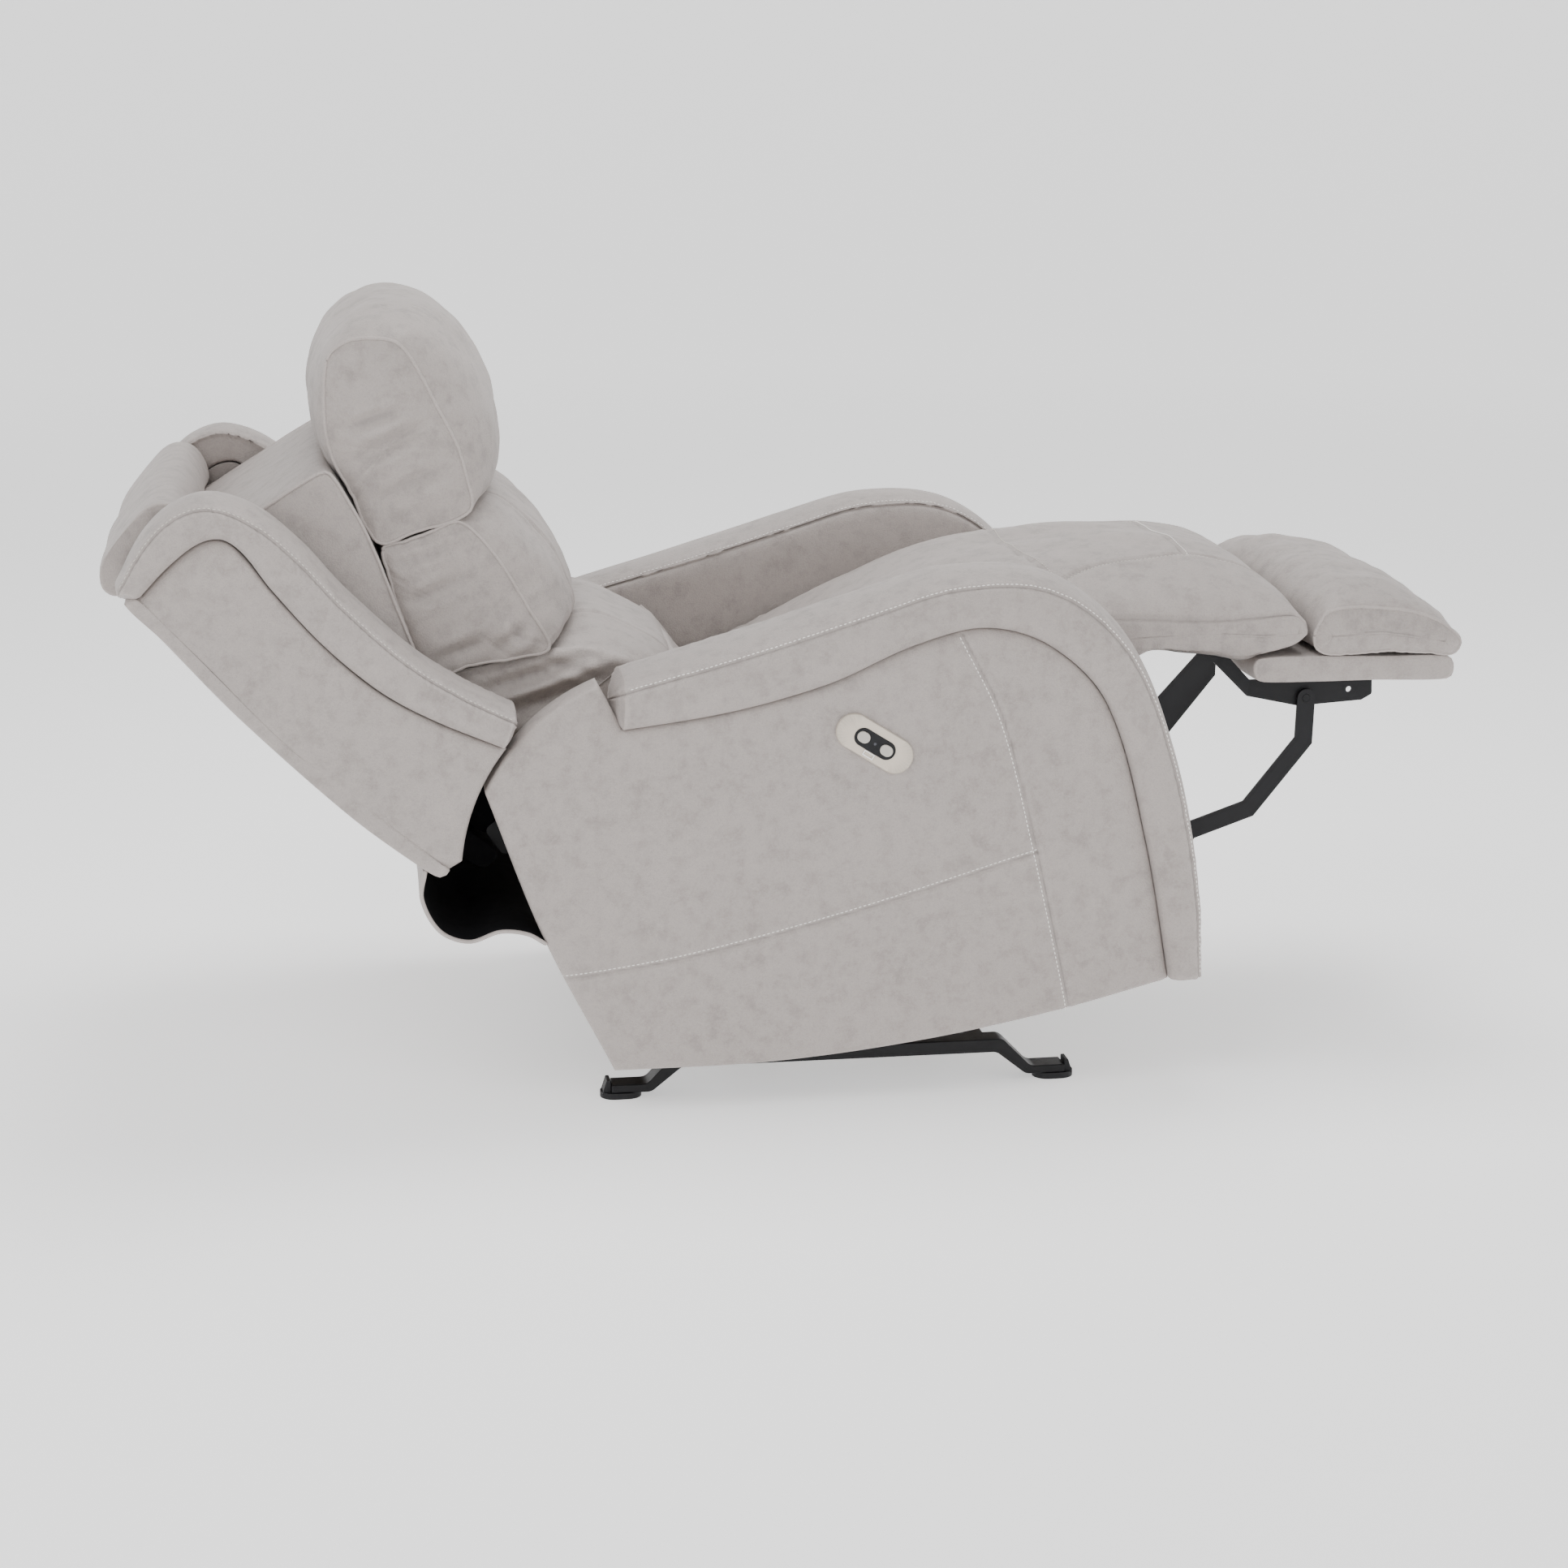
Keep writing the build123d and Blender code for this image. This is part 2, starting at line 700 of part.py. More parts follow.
def bracket_flange(frame, y_low, y_high):
    """Flange of the bracket, flat against the underside of the board."""
    outline = [(600, 429.5), (733, 412), (732.6, 409), (599.6, 426.5)]
    return plate(frame, y_low, y_high, outline)


def crank(frame, y_low, y_high):
    """Crank bar from the drive tube to the front link."""
    ends = (CRANK_PIVOT, shifted(BRACKET_FRONT_PIN))
    return bar(frame, y_low, y_high, ends, LINK_HALF_WIDTH + 2)


def shifted(pin):
    """Lower pin of a link whose upper pin is on the bracket."""
    return (pin[0] + CRANK_PIVOT[0] - FOLD_PIVOT[0], pin[1] + CRANK_PIVOT[1] - FOLD_PIVOT[1])


def bar(frame, y_low, y_high, ends, half_width, holes=(), hole_radius=0.0):
    """Straight link with round ends."""
    (x1, z1), (x2, z2) = ends
    with BuildPart() as link:
        with BuildSketch(frame.offset(-y_high)):
            with BuildLine():
                Line((x1, z1), (x2, z2))
            trace(line_width=2 * half_width)
            with Locations((x1, z1), (x2, z2)):
                Circle(half_width)
            if holes:
                with Locations(*holes):
                    Circle(hole_radius, mode=Mode.SUBTRACT)
        extrude(amount=y_high - y_low)
    return link.part


def front_link(frame, y_low, y_high):
    """Bent link that carries the front of the leg rest."""
    top = BRACKET_FRONT_PIN
    low = shifted(top)
    points = [top, (630, 343), (546, 262), low]
    with BuildPart() as link:
        with BuildSketch(frame.offset(-y_high)):
            with BuildLine():
                Polyline(*points)
            trace(line_width=2 * LINK_HALF_WIDTH)
            with Locations(*points):
                Circle(LINK_HALF_WIDTH)
            with Locations(top, low):
                Circle(PIN_RADIUS + PIN_CLEARANCE, mode=Mode.SUBTRACT)
        extrude(amount=y_high - y_low)
    return link.part


def main():
    """Make every piece and write it out."""
    os.makedirs("parts", exist_ok=True)
    link_pins = PIN_RADIUS + PIN_CLEARANCE
    guide_foot = (CRANK_PIVOT[0] + GUIDE_OFFSET[0], CRANK_PIVOT[1] + GUIDE_OFFSET[1])
    rear_low = shifted(BRACKET_REAR_PIN)
    front_low = shifted(BRACKET_FRONT_PIN)
    guide_top = (rear_low[0] + GUIDE_OFFSET[0], rear_low[1] + GUIDE_OFFSET[1])

    # base
    shelves = spring_shelves()
    rails = both_sides(SIDE, RAIL_INNER, RAIL_OUTER, base_rail)
    save_pair("base_rail", {word: joined(rails[word], shelves[word]) for word in rails})
    save("base_cross_tubes", base_cross_tubes())
    save("base_feet", base_feet())
    save("rocker_springs", rocker_springs())

    # seat frame
    cams = both_sides(SIDE, CAM_INNER, CAM_OUTER, rocker_cam)
    hangers = both_sides(SIDE, SPRING_Y - 16, CAM_INNER, spring_hanger)
    save_pair("rocker_cam", {word: joined(cams[word], hangers[word]) for word in cams})
    save("side_rails", side_rails())
    save_pair("mech_plate", both_sides(BODY, PLATE_Y, PLATE_Y + PLATE, mech_plate))
    stands = both_sides(BODY, PLATE_Y - 40, PLATE_Y, rail_stands)
    save("seat_rails", joined(seat_rails(), *stands.values()))
    save("seat_springs", seat_springs())
    save("recline_pins", joined(*[
        pins(BODY, side * 248 - 12, side * 248 + 12, [BACK_PIVOT], PIN_RADIUS) for side in (-1, 1)
    ]))

    # arms
    save_pair("arm_frame", both_sides(BODY, CAM_OUTER + 1, 340, arm_frame))
    save_pair("arm_panel", both_sides(BODY, 345, PANEL_FACE, arm_panel))
    save_pair("arm_inner", both_sides(BODY, ARM_INNER, 296, arm_inner))
    save_pair("arm_roll", both_sides(
        BODY, 297, HALF, band, outer=ROLL_OUTER, inner=ROLL_INNER))
    save("seat_cushion", seat_cushion())

    # drive and controls
    save("drive_motor", drive_motor())
    save("drive_rail", drive_rail())
    save("drive_slider", drive_slider())
    save("control_plate", slot_block(0, 4, PLATE_LENGTH, PLATE_WIDTH, 1, INSET_LENGTH, INSET_WIDTH, 1.6))
    save("control_inset", control_inset())
    save("button_open", button(-BUTTON_SPACING / 2))
    save("button_close", button(BUTTON_SPACING / 2))
    save("status_lens", status_lens())
    save("usb_port", usb_port())
    save("power_inlet", power_inlet())

    # backrest
    save("back_frame", back_frame())
    save("back_panel", back_panel())
    save_pair("wing_panel", both_sides(BACK, WING_INNER + 2, PANEL_FACE, wing_panel))
    save_pair("wing_roll", both_sides(
        BACK, WING_INNER, HALF, band, outer=WING_OUTER_CURVE, inner=WING_INNER_CURVE))
    save("back_top_roll", back_top_roll())
    save("inner_back", joined(inner_back()))
    save("back_pad_lower", back_pad_lower())
    save("neck_pillow", pillow([(-284, 962), (-302, 880), (-170, 862), (-110, 885), (-92, 960), (-140, 976)], 12))
    save("mid_pillow", pillow([(-304, 858), (-330, 735), (-322, 706), (-205, 645), (-152, 660), (-140, 780),
                               (-165, 850)], 12))
    save("lumbar_pillow", pillow([(-352, 662), (-352, 520), (-240, 502), (-110, 500), (-90, 560), (-150, 606),
                                  (-205, 626)], 12))
    save("back_brackets", joined(*both_sides(BACK, PLATE_Y - 6, PLATE_Y - 2, back_bracket).values()))
    save("rear_flap", rear_flap())

    # headrest
    save("headrest_hinges", headrest_hinges())
    save("headrest_board", headrest_board())
    save("headrest_pillow", pillow([(-268, 1000), (-262, 1034), (-232, 1086), (-190, 1112), (-120, 1108),
                                    (-80, 1050), (-78, 985), (-150, 990)], 14))

    # leg rest
    save("footrest_board", footrest_board())
    brackets = both_sides(BODY, BRACKET_Y - PLATE / 2, BRACKET_Y + PLATE / 2, footrest_bracket)
    flanges = both_sides(BODY, BRACKET_Y - 26, BRACKET_Y - PLATE / 2, bracket_flange)
    studs = [
        pins(BODY, y - 5, y + 5, [BRACKET_FRONT_PIN, BRACKET_REAR_PIN], PIN_RADIUS)
        for y in (-(LINK_Y + BRACKET_Y) / 2 - 1, (LINK_Y + BRACKET_Y) / 2 + 1)
    ]
    save("footrest_brackets", joined(*brackets.values(), *flanges.values(), *studs))
    save("chaise_pad", plate(
        BODY, -PAD_HALF, PAD_HALF,
        [(472, 503), (562, 503), (570, 474), (640, 466), (643, 525), (600, 578), (545, 596), (474, 606)], 8, soften=8))
    save("foot_pad", plate(
        BODY, -PAD_HALF, PAD_HALF,
        [(648, 466), (838, 440), (846, 456), (815, 500), (740, 538), (672, 538), (648, 510)], 6, soften=8))

    # leg rest linkage
    tube = [(CRANK_PIVOT[0] + dx, CRANK_PIVOT[1] + dz) for dx, dz in ((-12, -12), (12, -12), (12, 12), (-12, 12))]
    cranks = both_sides(BODY, CRANK_Y - PLATE / 2, CRANK_Y + PLATE / 2, crank)
    crank_pins = [
        pins(BODY, y - 6, y + 6, [rear_low, front_low], PIN_RADIUS) for y in (-CRANK_Y + 4, CRANK_Y - 4)
    ]
    tube_ends = [pins(BODY, y - 6, y + 6, [CRANK_PIVOT], PIN_RADIUS) for y in (-CRANK_Y - 8, CRANK_Y + 8)]
    save("torque_tube", plate(BODY, -CRANK_Y + PLATE / 2, CRANK_Y - PLATE / 2, tube, 2))
    save("leg_cranks", joined(*cranks.values(), *crank_pins, *tube_ends))
    save("drive_fork", drive_fork())
    save("leg_links_front", joined(*both_sides(BODY, LINK_Y - PLATE / 2, LINK_Y + PLATE / 2, front_link).values()))
    save("leg_links_rear", joined(*both_sides(
        BODY, LINK_Y - PLATE / 2, LINK_Y + PLATE / 2, bar,
        ends=(rear_low, BRACKET_REAR_PIN), half_width=LINK_HALF_WIDTH,
        holes=[rear_low, BRACKET_REAR_PIN, guide_top], hole_radius=link_pins).values()))
    guides = both_sides(
        BODY, CRANK_Y - PLATE / 2, CRANK_Y + PLATE / 2, bar,
        ends=(guide_foot, guide_top), half_width=LINK_HALF_WIDTH - 1)
    guide_pins = [pins(BODY, y - 6, y + 6, [guide_top], PIN_RADIUS) for y in (-CRANK_Y + 4, CRANK_Y - 4)]
    guide_feet = [pins(BODY, y - 6, y + 6, [guide_foot], PIN_RADIUS) for y in (-CRANK_Y - 8, CRANK_Y + 8)]
    save("leg_guides", joined(*guides.values(), *guide_pins, *guide_feet))

    for name, frame, point in (
        ("back pivot", BODY, BACK_PIVOT),
        ("fold pivot", BODY, FOLD_PIVOT),
        ("crank pivot", BODY, CRANK_PIVOT),
        ("guide pivot", BODY, guide_foot),
        ("front link low", BODY, front_low),
        ("rear link low", BODY, rear_low),
        ("head pivot", BACK, HEAD_PIVOT),
    ):
        spot = place(frame, point)
        print(f"{name}: x {spot.X:.2f}  z {spot.Z:.2f}")
    print("crank length", round(hypot(*(a - b for a, b in zip(front_low, CRANK_PIVOT))), 1))


main()
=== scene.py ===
"""Power rocker recliner armchair: leather, padding, stitching and finishes around its frame."""
import json

import bpy
import numpy as np
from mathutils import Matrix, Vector


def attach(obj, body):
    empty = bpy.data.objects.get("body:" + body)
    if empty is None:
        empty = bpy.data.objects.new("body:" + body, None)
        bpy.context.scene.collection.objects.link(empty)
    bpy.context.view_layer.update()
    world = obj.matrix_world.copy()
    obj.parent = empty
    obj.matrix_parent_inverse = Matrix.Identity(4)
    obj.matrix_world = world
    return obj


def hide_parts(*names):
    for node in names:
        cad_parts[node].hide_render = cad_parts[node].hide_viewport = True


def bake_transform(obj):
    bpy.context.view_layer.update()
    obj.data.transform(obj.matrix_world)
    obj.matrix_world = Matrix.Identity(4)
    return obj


bl_info = {
    "name": "Rocker recliner armchair",
    "version": (1, 0, 0),
    "blender": (4, 5, 0),
    "location": "View3D > Sidebar > Recliner",
    "description": "Upholstery, stitching and finishes of a power rocker recliner",
    "category": "Add Mesh",
}

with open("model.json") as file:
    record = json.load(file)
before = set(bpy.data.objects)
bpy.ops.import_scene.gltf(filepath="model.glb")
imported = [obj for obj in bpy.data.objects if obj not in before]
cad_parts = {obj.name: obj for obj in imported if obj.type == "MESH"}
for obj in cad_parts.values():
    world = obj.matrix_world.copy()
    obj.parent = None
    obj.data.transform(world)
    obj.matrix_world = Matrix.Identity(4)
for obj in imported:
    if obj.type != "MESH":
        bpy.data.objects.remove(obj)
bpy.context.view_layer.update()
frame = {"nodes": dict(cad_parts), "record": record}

# Sizes below are millimetres in the chair's own side frames: forward, up, and across from the middle.
MM = 0.001
ARM_INNER = 270.0
PANEL_FACE = 403.0
PANEL_REAR = 345.0
WING_INNER = 300.0
PAD_HALF = 266.0
ROCK_LEAN = 7.3
RECLINE_LEAN = 27.0
CENTRING = 9.0
LEAN_CENTRE = (-20.0, 700.0)
BACK_PIVOT = (-237.0, 345.0)
ARM_ARC = 262.0
WING_ARC = 268.0
CAP_RINGS = 30
PILLOW_EDGE = 278
LUMBAR_EDGE = 262


class SideFrame:
    """A side view of the chair: forward and up, turned by an angle, with y across."""

    def __init__(self, angle=0.0, origin=(CENTRING, 0.0)):
        self.angle = angle
        self.origin = np.array(origin, float)

    def turn(self, x, z):
        """Forward and up in the chair's own coordinates."""
        c, s = np.cos(self.angle), np.sin(self.angle)
        return self.origin[0] + x * c - z * s, self.origin[1] + x * s + z * c

    def leaned(self, pivot, degrees):
        """Frame leaned back about a pivot given in this frame."""
        turned = SideFrame(self.angle + np.radians(degrees))
        turned.origin = np.zeros(2)
        here = np.array(self.turn(*pivot))
        turned.origin = here - np.array(turned.turn(*pivot))
        return turned

    def at(self, x, z, y):
        """Points in metres in the chair's own coordinates."""
        x, z, y = np.broadcast_arrays(x, z, y)
        wx, wz = self.turn(x.astype(float), z.astype(float))
        return np.stack([wx, y, wz], axis=-1) * MM


SIDE = SideFrame()
BODY = SIDE.leaned(LEAN_CENTRE, ROCK_LEAN)
BACK = BODY.leaned(BACK_PIVOT, RECLINE_LEAN)


# ---------------------------------------------------------------- curves and surfaces
def smooth_curve(points, step=8.0, closed=False):
    """Cubic curve through points: Hermite spans whose slopes are the neighbours' chord.

    Returns the samples and the index of the sample at each given point."""
    p = np.asarray(points, float)
    following = np.roll(p, -1, axis=0)
    before = np.roll(p, 1, axis=0)
    chord = np.linalg.norm((following - p)[:, :2], axis=1)
    back_chord = np.roll(chord, 1)
    if not closed:
        following[-1] = 2 * p[-1] - p[-2]
        before[0] = 2 * p[0] - p[1]
        chord[-1] = chord[-2]
        back_chord[0] = chord[0]
    slope = (following - before) / (chord + back_chord)[:, None]
    spans = len(p) if closed else len(p) - 1
    rows = []
    starts = []
    for i in range(spans):
        j = (i + 1) % len(p)
        count = max(2, int(round(chord[i] / step)))
        t = (np.arange(count) / count)[:, None]
        starts.append(sum(len(r) for r in rows))
        rows.append(
            (2 * t**3 - 3 * t**2 + 1) * p[i]
            + (t**3 - 2 * t**2 + t) * slope[i] * chord[i]
            + (-2 * t**3 + 3 * t**2) * p[j]
            + (t**3 - t**2) * slope[j] * chord[i]
        )
    if not closed:
        starts.append(sum(len(r) for r in rows))
        rows.append(p[-1:])
    return np.concatenate(rows), starts


def resampled(curve, count):
    """The same open curve as evenly spaced points."""
    length = np.concatenate([[0], np.cumsum(np.linalg.norm(np.diff(curve, axis=0), axis=1))])
    want = np.linspace(0, length[-1], count)
    return np.stack([np.interp(want, length, curve[:, k]) for k in range(curve.shape[1])], axis=1)


def grid_normals(grid):
    """Unit normals of a grid of closed rows, from the cross product of its two directions."""
    along = np.roll(grid, -1, axis=1) - np.roll(grid, 1, axis=1)
    across = np.gradient(grid, axis=0)
    normal = np.cross(across, along)
    length = np.linalg.norm(normal, axis=2, keepdims=True)
    return normal / np.maximum(length, 1e-12)


def nearest_on(line, points):
    """Closest samples of a fine line to each point."""
    gaps = np.linalg.norm(points[:, None] - line[None], axis=2)
    return line[np.argmin(gaps, axis=1)]


def capped(sections, bulge, rings=CAP_RINGS, power=3.0, spine=None):
    """Closed loops with both ends closed: each end loop shrinks to its middle and moves out.

    A ring shrunk to a share s of the loop moves out by bulge times 1 - s to the power. A long
    loop shrinks to the nearest samples of a spine line, given at y = 0, and not to one point."""
    share = np.linspace(1, 0.02, rings + 1)[1:]
    grid = [sections]
    for end, neighbour in ((0, 1), (-1, -2)):
        loop = sections[end]
        middle = loop.mean(axis=0)
        out = middle - sections[neighbour].mean(axis=0)
        out /= max(np.linalg.norm(out), 1e-9)
        size = bulge[0] if end == 0 else bulge[1]
        if spine is not None:
            middle = nearest_on(spine + (0, middle[1], 0), loop)
        rings_out = (
            middle
            + (loop - middle)[None] * share[:, None, None]
            + out * (size * (1 - share**power))[:, None, None]
        )
        if end == 0:
            grid.insert(0, rings_out[::-1])
        else:
            grid.append(rings_out)
    return np.concatenate(grid)


def waves(count, seed, lowest=3, terms=7):
    """Smooth periodic random wave along a closed loop, between about -1 and 1."""
    rng = np.random.default_rng(seed)
    u = np.linspace(0, 2 * np.pi, count, endpoint=False)
    total = np.zeros(count)
    for k in range(terms):
        total += rng.uniform(0.5, 1.0) * np.sin((lowest + k * lowest * 0.8) // 1 * u + rng.uniform(0, 6.28))
    return total / np.abs(total).max()


def gathered(grid, row, depth, reach, pleats, seed):
    """Pleats that run off a seam row: folds of an uneven depth that fade with distance."""
    count = grid.shape[1]
    fold = 0.5 + 0.5 * waves(count, seed, lowest=pleats, terms=4)
    fold *= 0.45 + 0.55 * np.abs(waves(count, seed + 1, lowest=2, terms=3))
    distance = np.linalg.norm(grid - grid[row][None], axis=2)
    fade = np.exp(-((distance / reach) ** 1.3)) * (1 - np.exp(-((distance / (reach * 0.12)) ** 2)) * 0.6)
    return -depth * fold[None, :] * fade


def rumpled(points, size, depth, seed):
    """Soft uneven swell over a surface: a sum of random plane waves about a given size."""
    rng = np.random.default_rng(seed)
    total = np.zeros(points.shape[:-1])
    for _ in range(9):
        direction = rng.normal(size=3)
        direction /= np.linalg.norm(direction)
        rate = 2 * np.pi / (size * rng.uniform(0.6, 1.7))
        total += np.sin(points @ direction * rate + rng.uniform(0, 6.28))
    return depth * total / 4.0


def creased(points, start, end, width, depth):
    """Groove along a straight line in space, with a low swell on both sides of it."""
    start, end = np.asarray(start, float), np.asarray(end, float)
    line = end - start
    share = np.clip(((points - start) @ line) / (line @ line), 0, 1)
    distance = np.linalg.norm(points - (start + share[..., None] * line), axis=-1)
    fade = np.sin(np.pi * np.clip(share, 0.02, 0.98)) ** 0.6
    r = distance / width
    return -depth * fade * (np.exp(-(r**2)) - 0.45 * np.exp(-((r - 2.2) ** 2)))


def mesh_piece(name, points, faces, material):
    """Object at the origin with a smooth mesh."""
    mesh = bpy.data.meshes.new(name)
    mesh.from_pydata(points.reshape(-1, 3).tolist(), [], faces)
    mesh.polygons.foreach_set("use_smooth", np.ones(len(mesh.polygons), bool))
    mesh.materials.append(material)
    mesh.update()
    piece = bpy.data.objects.new(name, mesh)
    bpy.context.scene.collection.objects.link(piece)
    return piece


def quads(rows, columns, wrap, offset=0):
    """Corner numbers of a grid's quads."""
    i = np.arange(rows - 1)[:, None]
    j = np.arange(columns if wrap else columns - 1)[None, :]
    k = (j + 1) % columns
    corner = [i * columns + j, (i + 1) * columns + j, (i + 1) * columns + k, i * columns + k]
    return (np.stack(np.broadcast_arrays(*corner), axis=-1) + offset).reshape(-1, 4)


def enclosed(points, faces):
    """Signed measure of the volume that faces enclose: above 0 when they are turned outwards."""
    p = points.reshape(-1, 3)
    return np.einsum("ij,ij->i", p[faces[:, 0]], np.cross(p[faces[:, 1]], p[faces[:, 2]])).sum()


def closed_piece(name, grid, material, slit=False):
    """Mesh of a wrapped grid whose first and last rows close to a point, or each to one thin face."""
    rows, columns = grid.shape[:2]
    poles = np.stack([grid[0].mean(axis=0), grid[-1].mean(axis=0)])
    points = np.concatenate([grid.reshape(-1, 3), poles])
    faces = quads(rows, columns, True)
    j = np.arange(columns)
    k = (j + 1) % columns
    first = rows * columns
    low = np.stack([np.full(columns, first), j, k], axis=1)
    base = (rows - 1) * columns
    high = np.stack([np.full(columns, first + 1), base + k, base + j], axis=1)
    inside_out = enclosed(points, faces) < 0
    if inside_out:
        faces, low, high = faces[:, ::-1], low[:, ::-1], high[:, ::-1]
    if slit:
        ends = [list(range(columns)), list(range(rows * columns - 1, base - 1, -1))]
        if inside_out:
            ends = [end[::-1] for end in ends]
        return mesh_piece(name, points[:-2], faces.tolist() + ends, material)
    return mesh_piece(name, points, faces.tolist() + low.tolist() + high.tolist(), material)


def crown(v, power=2.4, ease=0.75):
    """Share of the full crown at v across the width: 0 at the edges and 1 in the middle."""
    return np.clip(1 - np.abs(v) ** power, 0, 1) ** ease


def block_grid(
    side_frame, side, centre, half, rows=60, step=8.0, bulge=14.0, power=2.4, ease=0.75, spine=None
):
    """Padded block: the side outline at both ends swells to the centre outline between them.

    A point is side + (centre - side) * crown(v) at y = v * half, and the ends are capped.
    Returns the grid, the rim rows and the sample number of each outline point."""
    both = np.concatenate([np.asarray(side, float), np.asarray(centre, float)], axis=1)
    loop, starts = smooth_curve(both, step, closed=True)
    v = np.sin(np.linspace(-np.pi / 2, np.pi / 2, rows))
    v = 0.5 * v + 0.5 * np.linspace(-1, 1, rows)
    share = crown(v, power, ease)[:, None]
    x = loop[None, :, 0] * (1 - share) + loop[None, :, 2] * share
    z = loop[None, :, 1] * (1 - share) + loop[None, :, 3] * share
    sections = side_frame.at(x, z, v[:, None] * half)
    if spine is not None:
        line = resampled(np.asarray(spine, float), 400)
        spine = side_frame.at(line[:, 0], line[:, 1], np.zeros(len(line)))
    rims = (CAP_RINGS, CAP_RINGS + rows - 1)
    return capped(sections, (bulge * MM, bulge * MM), spine=spine), rims, starts


def on_grid(grid, rows, columns):
    """Points of a grid at fractional rows and columns, by linear blending of four corners."""
    i, j = np.floor(rows).astype(int), np.floor(columns).astype(int)
    i = np.clip(i, 0, grid.shape[0] - 2)
    j = np.clip(j, 0, grid.shape[1] - 2)
    u, v = (rows - i)[:, None], (columns - j)[:, None]
    return (
        grid[i, j] * (1 - u) * (1 - v) + grid[i + 1, j] * u * (1 - v)
        + grid[i, j + 1] * (1 - u) * v + grid[i + 1, j + 1] * u * v
    )


def seam_dip(points, paths, width, depth):
    """Sharp groove along paths in space with a soft rise on both sides of it, in metres."""
    flat = points.reshape(-1, 3)
    best = np.full(len(flat), 1.0)
    for path in paths:
        near = np.nonzero(
            np.all((flat > path.min(axis=0) - 0.03) & (flat < path.max(axis=0) + 0.03), axis=1))[0]
        for part in np.array_split(near, max(1, len(near) // 4000)):
            gaps = np.linalg.norm(flat[part, None] - path[None], axis=2).min(axis=1)
            best[part] = np.minimum(best[part], gaps)
    r = best / width
    dip = -depth * np.exp(-(r**2)) + 0.3 * depth * np.exp(-(((r - 3) / 1.8) ** 2))
    return dip.reshape(points.shape[:-1])


def tube_along(name, path, radius, material, sides=10, helper=None):
    """Round cord that follows a path, with closed ends. helper is a direction the path never takes."""
    path = np.asarray(path, float)
    tangent = np.gradient(path, axis=0)
    tangent /= np.linalg.norm(tangent, axis=1, keepdims=True)
    if helper is None:
        helper = (0.0, 1.0, 0.0) if abs(tangent[:, 1]).mean() < 0.8 else (0.0, 0.0, 1.0)
    first = np.cross(tangent, helper)
    first /= np.linalg.norm(first, axis=1, keepdims=True)
    second = np.cross(tangent, first)
    a = np.linspace(0, 2 * np.pi, sides, endpoint=False)
    ring = np.cos(a)[None, :, None] * first[:, None] + np.sin(a)[None, :, None] * second[:, None]
    sections = path[:, None] + radius * ring
    return closed_piece(name, capped(sections, (radius, radius), rings=3), material)


# ---------------------------------------------------------------- stitching
STITCH_RINGS = np.array([0.0, 0.55, 0.9, 1.0, 0.9, 0.55, 0.0])
STITCH_LENGTH = 4.3
STITCH_RADIUS = 0.72
STITCH_LIFT = 0.4
STITCH_SIDES = 6


def stitches(name, path, normal):
    """Row of thread stitches along a path: each is a short bead, thinner at its two ends."""
    steps = np.linalg.norm(np.diff(path, axis=0), axis=1)
    along = np.concatenate([[0], np.cumsum(steps)])
    count = max(2, int(along[-1] / sizes().stitch))
    at = (np.arange(count) + 0.5) * along[-1] / count

    def sample(values, where):
        return np.stack([np.interp(where, along, values[:, k]) for k in range(3)], axis=1)

    head = sample(path, np.clip(at - STITCH_LENGTH * MM / 2, 0, along[-1]))
    tail = sample(path, np.clip(at + STITCH_LENGTH * MM / 2, 0, along[-1]))
    up = sample(normal, at)
    up /= np.linalg.norm(up, axis=1, keepdims=True)
    run = tail - head
    wide = np.cross(run, up)
    wide /= np.maximum(np.linalg.norm(wide, axis=1, keepdims=True), 1e-9)
    rings = len(STITCH_RINGS)
    a = np.linspace(0, 2 * np.pi, STITCH_SIDES, endpoint=False)
    t = np.linspace(0, 1, rings)
    thick = (0.12 + 0.88 * STITCH_RINGS) * STITCH_RADIUS * MM
    bow = np.sin(np.pi * t) * STITCH_LIFT * MM
    points = (
        head[:, None, None]
        + run[:, None, None] * t[None, :, None, None]
        + up[:, None, None] * (bow[None, :, None, None] + (thick[:, None] * np.sin(a))[None, :, :, None])
        + wide[:, None, None] * (thick[:, None] * np.cos(a))[None, :, :, None]
    )
    one = quads(rings, STITCH_SIDES, True)
    if enclosed(points[0], one) < 0:
        one = one[:, ::-1]
    ends = np.array([[5, 4, 3, 2], [5, 2, 1, 0], [36, 37, 38, 39], [36, 39, 40, 41]])
    one = np.concatenate([one, ends])
    faces = (one[None] + (np.arange(count) * rings * STITCH_SIDES)[:, None, None]).reshape(-1, 4)
    return mesh_piece(name, points, faces.tolist(), finish("thread"))


